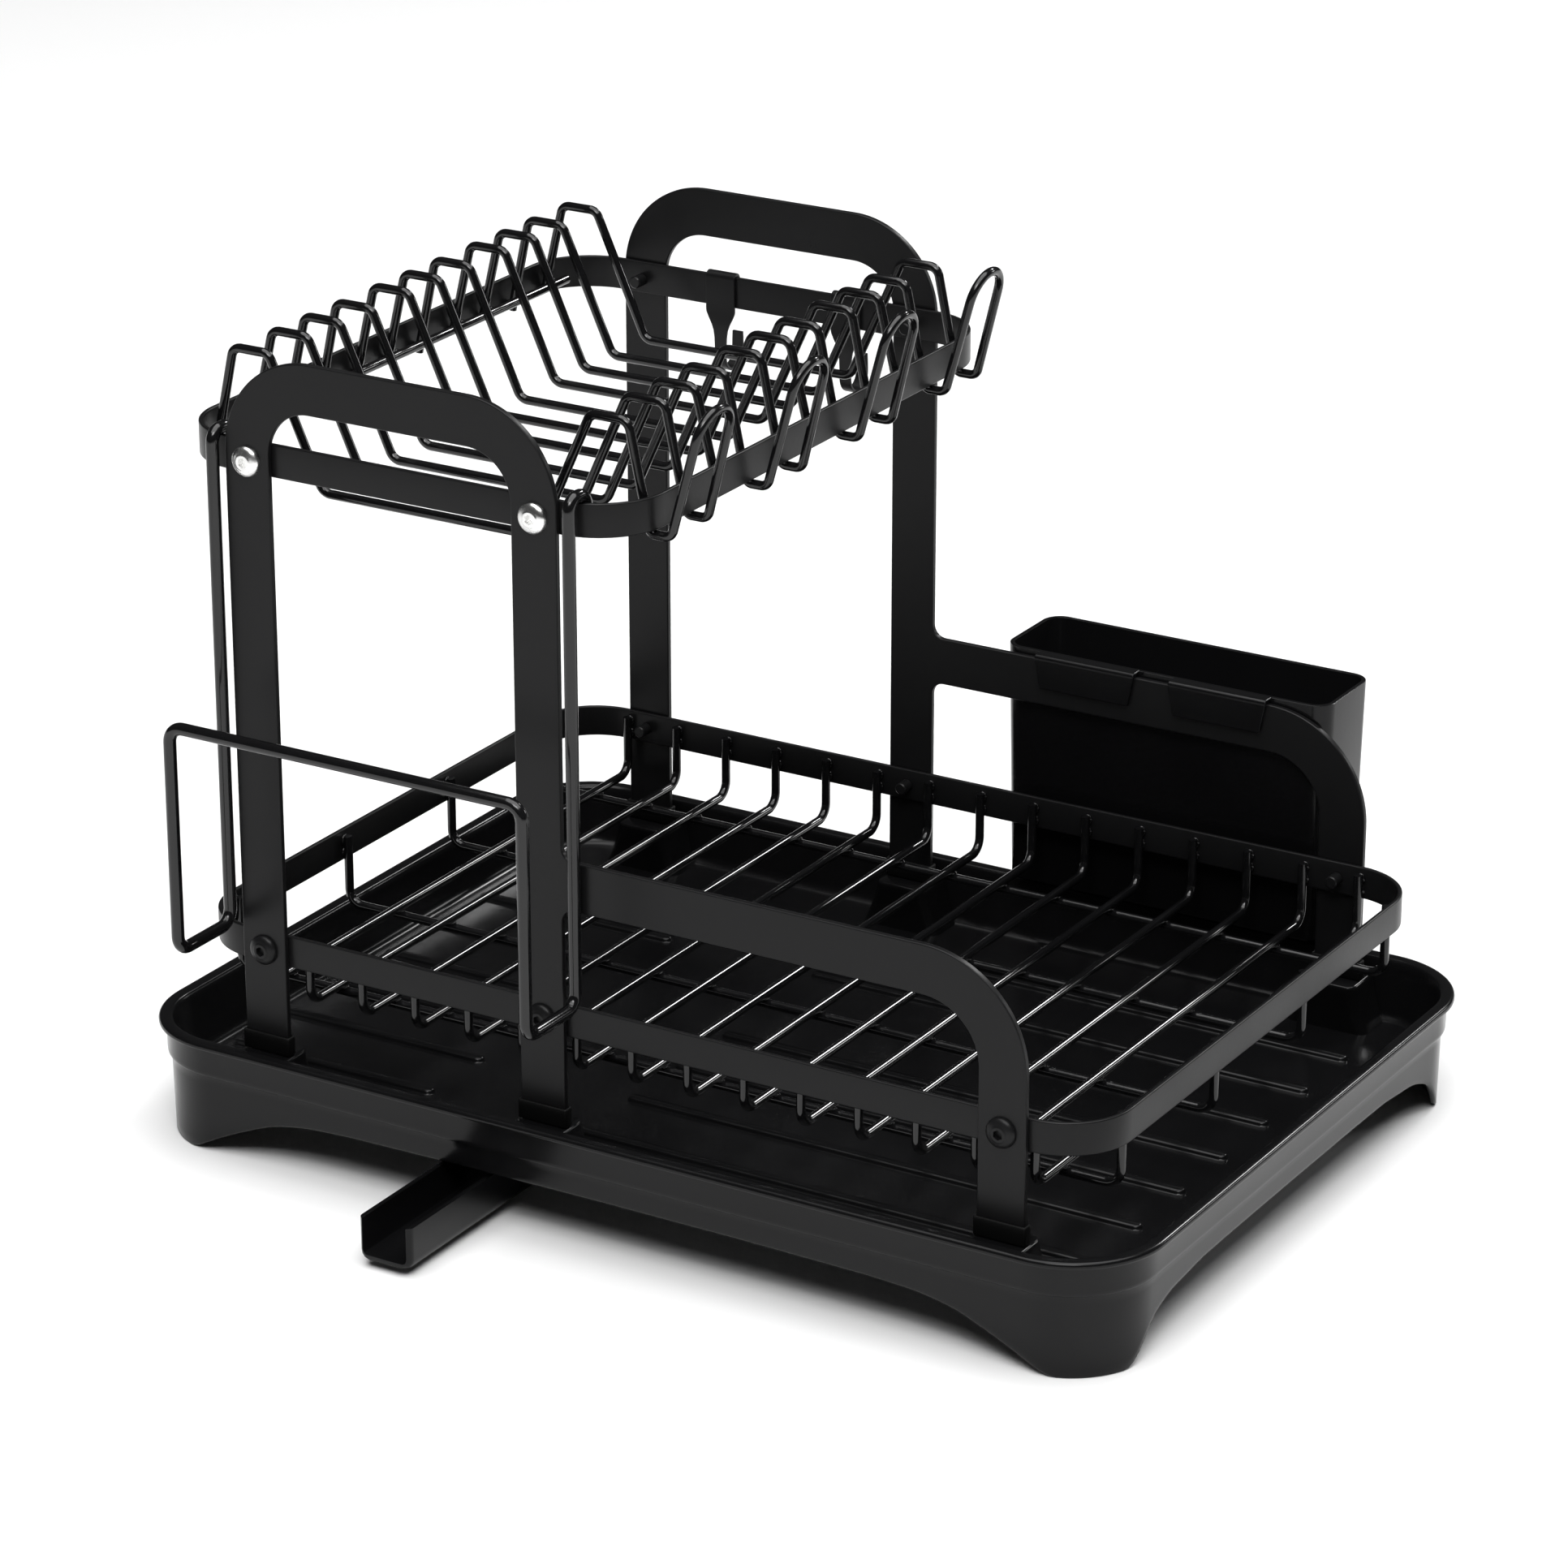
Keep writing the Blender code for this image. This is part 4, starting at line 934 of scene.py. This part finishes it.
def hook_path():
    """Side view of a utensil hook as (y, z, width): the clip, the tail and the curl at its end."""
    outside = RING_HALF_Y + GAP + HOOK_THICK / 2
    inside = RING_HALF_Y - STRIP_THICK - GAP - HOOK_THICK / 2
    top = UPPER_RING[2] + STRIP_HEIGHT / 2 + GAP + HOOK_THICK / 2
    curl, tail_z, round_top = 6.5, 246.5, (outside - inside) / 2
    path = [(outside, top - 9.0, 13.0), (outside, top - 5.0, 13.0)]
    path += [(y, z, 13.0) for y, z in arc(((outside + inside) / 2, top - round_top), round_top, 0, 180, 10)]
    path += [(inside, 270.0, 13.0), (inside, 265.0, 13.0), (inside, 264.0, 12.6), (inside, 262.0, 10.8),
             (inside, 259.5, 8.2), (inside, 257.0, 6.3), (inside, 254.0, 5.4), (inside, 250.0, 5.1)]
    path += [(y, z, 5.0) for y, z in arc((inside + curl, tail_z), curl, 180, 360, 16)]
    return path + [(inside + 2 * curl, 251.0, 4.8), (inside + 2 * curl, 253.5, 4.6)]


def make_utensil_hooks():
    """Two hooks of bent strip; each one's width follows its path."""
    path = hook_path()
    half_thick = HOOK_THICK / 2
    for number, x in enumerate(HOOK_X, 1):
        sections = []
        for i, (y, z, width) in enumerate(path):
            before = Vector(path[max(i - 1, 0)][:2])
            after = Vector(path[min(i + 1, len(path) - 1)][:2])
            along = (after - before).normalized()
            across = Vector((-along.y, along.x)) * half_thick
            low, high = Vector((y, z)) - across, Vector((y, z)) + across
            half = width / 2
            sections.append([(x - half, low.x, low.y), (x + half, low.x, low.y), (x + half, high.x, high.y),
                             (x - half, high.x, high.y)])
        name = f"utensil_hook_{number}"
        hook = rounded_edges(lofted(name + "_strip", sections, PAINTED, 50), 0.3, 2, 50)
        stand_in_for(hook, "hook_left" if number == 1 else "hook_right", "black_painted_metal", name)


# Floor, light and camera


def make_floor():
    """A plain pale floor, 24 m across."""
    made = bpy.data.materials.new("pale_floor")
    made.use_nodes = True
    shader = made.node_tree.nodes["Principled BSDF"]
    shader.inputs["Base Color"].default_value = (0.86, 0.86, 0.86, 1.0)
    shader.inputs["Roughness"].default_value = 0.9
    shader.inputs["Specular IOR Level"].default_value = 0.1
    shape = bmesh.new()
    bmesh.ops.create_grid(shape, x_segments=1, y_segments=1, size=12.0)
    floor = mesh_object("floor", shape, made)


def area_light(name, place, aim, size, power):
    """A rectangular lamp at a place, turned to face its aim; metres and watts."""
    data = bpy.data.lights.new(name, "AREA")
    data.shape = "RECTANGLE"
    data.size, data.size_y = size
    data.energy = power
    lamp = bpy.data.objects.new(name, data)
    lamp.location = place
    lamp.rotation_euler = (Vector(aim) - Vector(place)).to_track_quat("-Z", "Y").to_euler()
    SCENE.collection.objects.link(lamp)


def make_light():
    """A broad lamp overhead, two small ones behind that glint along the front-to-back wires, and one in front."""
    world = bpy.data.worlds.new("studio")
    world.use_nodes = True
    world.node_tree.nodes["Background"].inputs["Color"].default_value = (1.0, 1.0, 1.0, 1.0)
    world.node_tree.nodes["Background"].inputs["Strength"].default_value = 0.05
    SCENE.world = world
    area_light("overhead", (0.5, -0.5, 3.6), (0.5, -0.5, 0.0), (4.4, 4.4), 235.0)
    area_light("back_strip", (0.5, 3.3, 2.5), (0.0, 0.0, 0.1), (0.8, 0.34), 40.0)
    area_light("low_back", (1.75, 2.75, 1.05), (0.0, 0.0, 0.05), (0.5, 0.4), 9.0)
    area_light("front_fill", (0.9, -2.2, 2.8), (0.0, -0.2, 0.0), (1.6, 1.0), 45.0)


def make_camera():
    """The camera, level and turned to its azimuth and elevation."""
    data = bpy.data.cameras.new("camera")
    data.lens = CAMERA_LENS
    data.sensor_width = 36.0
    data.clip_end = 50.0
    camera = bpy.data.objects.new("camera", data)
    camera.location = CAMERA_PLACE
    azimuth, elevation = math.radians(CAMERA_AZIMUTH), math.radians(CAMERA_ELEVATION)
    camera.rotation_euler = (math.pi / 2 - elevation, 0, azimuth)
    SCENE.collection.objects.link(camera)
    SCENE.camera = camera


PAINTED = grained_black("painted_bar", (0.006, 0.006, 0.0063), roughness=0.34, specular=0.18,
                        grain_size=0.35, grain_depth=0.01, ripple_size=2.2, ripple_depth=0.015)
COATED = grained_black("coated_wire", (0.004, 0.004, 0.0043), roughness=0.14, specular=0.45, drift=0.03,
                       grain_size=0.5, grain_depth=0.003, ripple_size=2.5, ripple_depth=0.008)
PLASTIC = grained_black("moulded_plastic", (0.004, 0.004, 0.0043), roughness=0.2, specular=0.2, drift=0.04,
                        grain_size=0.25, grain_depth=0.005, ripple_size=3.0, ripple_depth=0.01)
BOOT = grained_black("rubber_boot", (0.003, 0.003, 0.003), roughness=0.55, specular=0.15,
                     grain_size=0.3, grain_depth=0.012)
PLATED = plated_steel()
WIRES = bent_wire_tree()
COPIES = copies_tree()

make_side_frames()
make_leg_caps()
make_rings()
make_plate_wires(WIRES)
make_lower_wires(WIRES)
make_board_holder(WIRES)
make_fasteners(COPIES)
make_welds(COPIES)
make_tray_shell()
make_ribs(COPIES)
make_pads()
make_spout()
make_cutlery_box()
make_utensil_hooks()
make_floor()
make_light()
make_camera()
SCENE.view_settings.view_transform = "Standard"
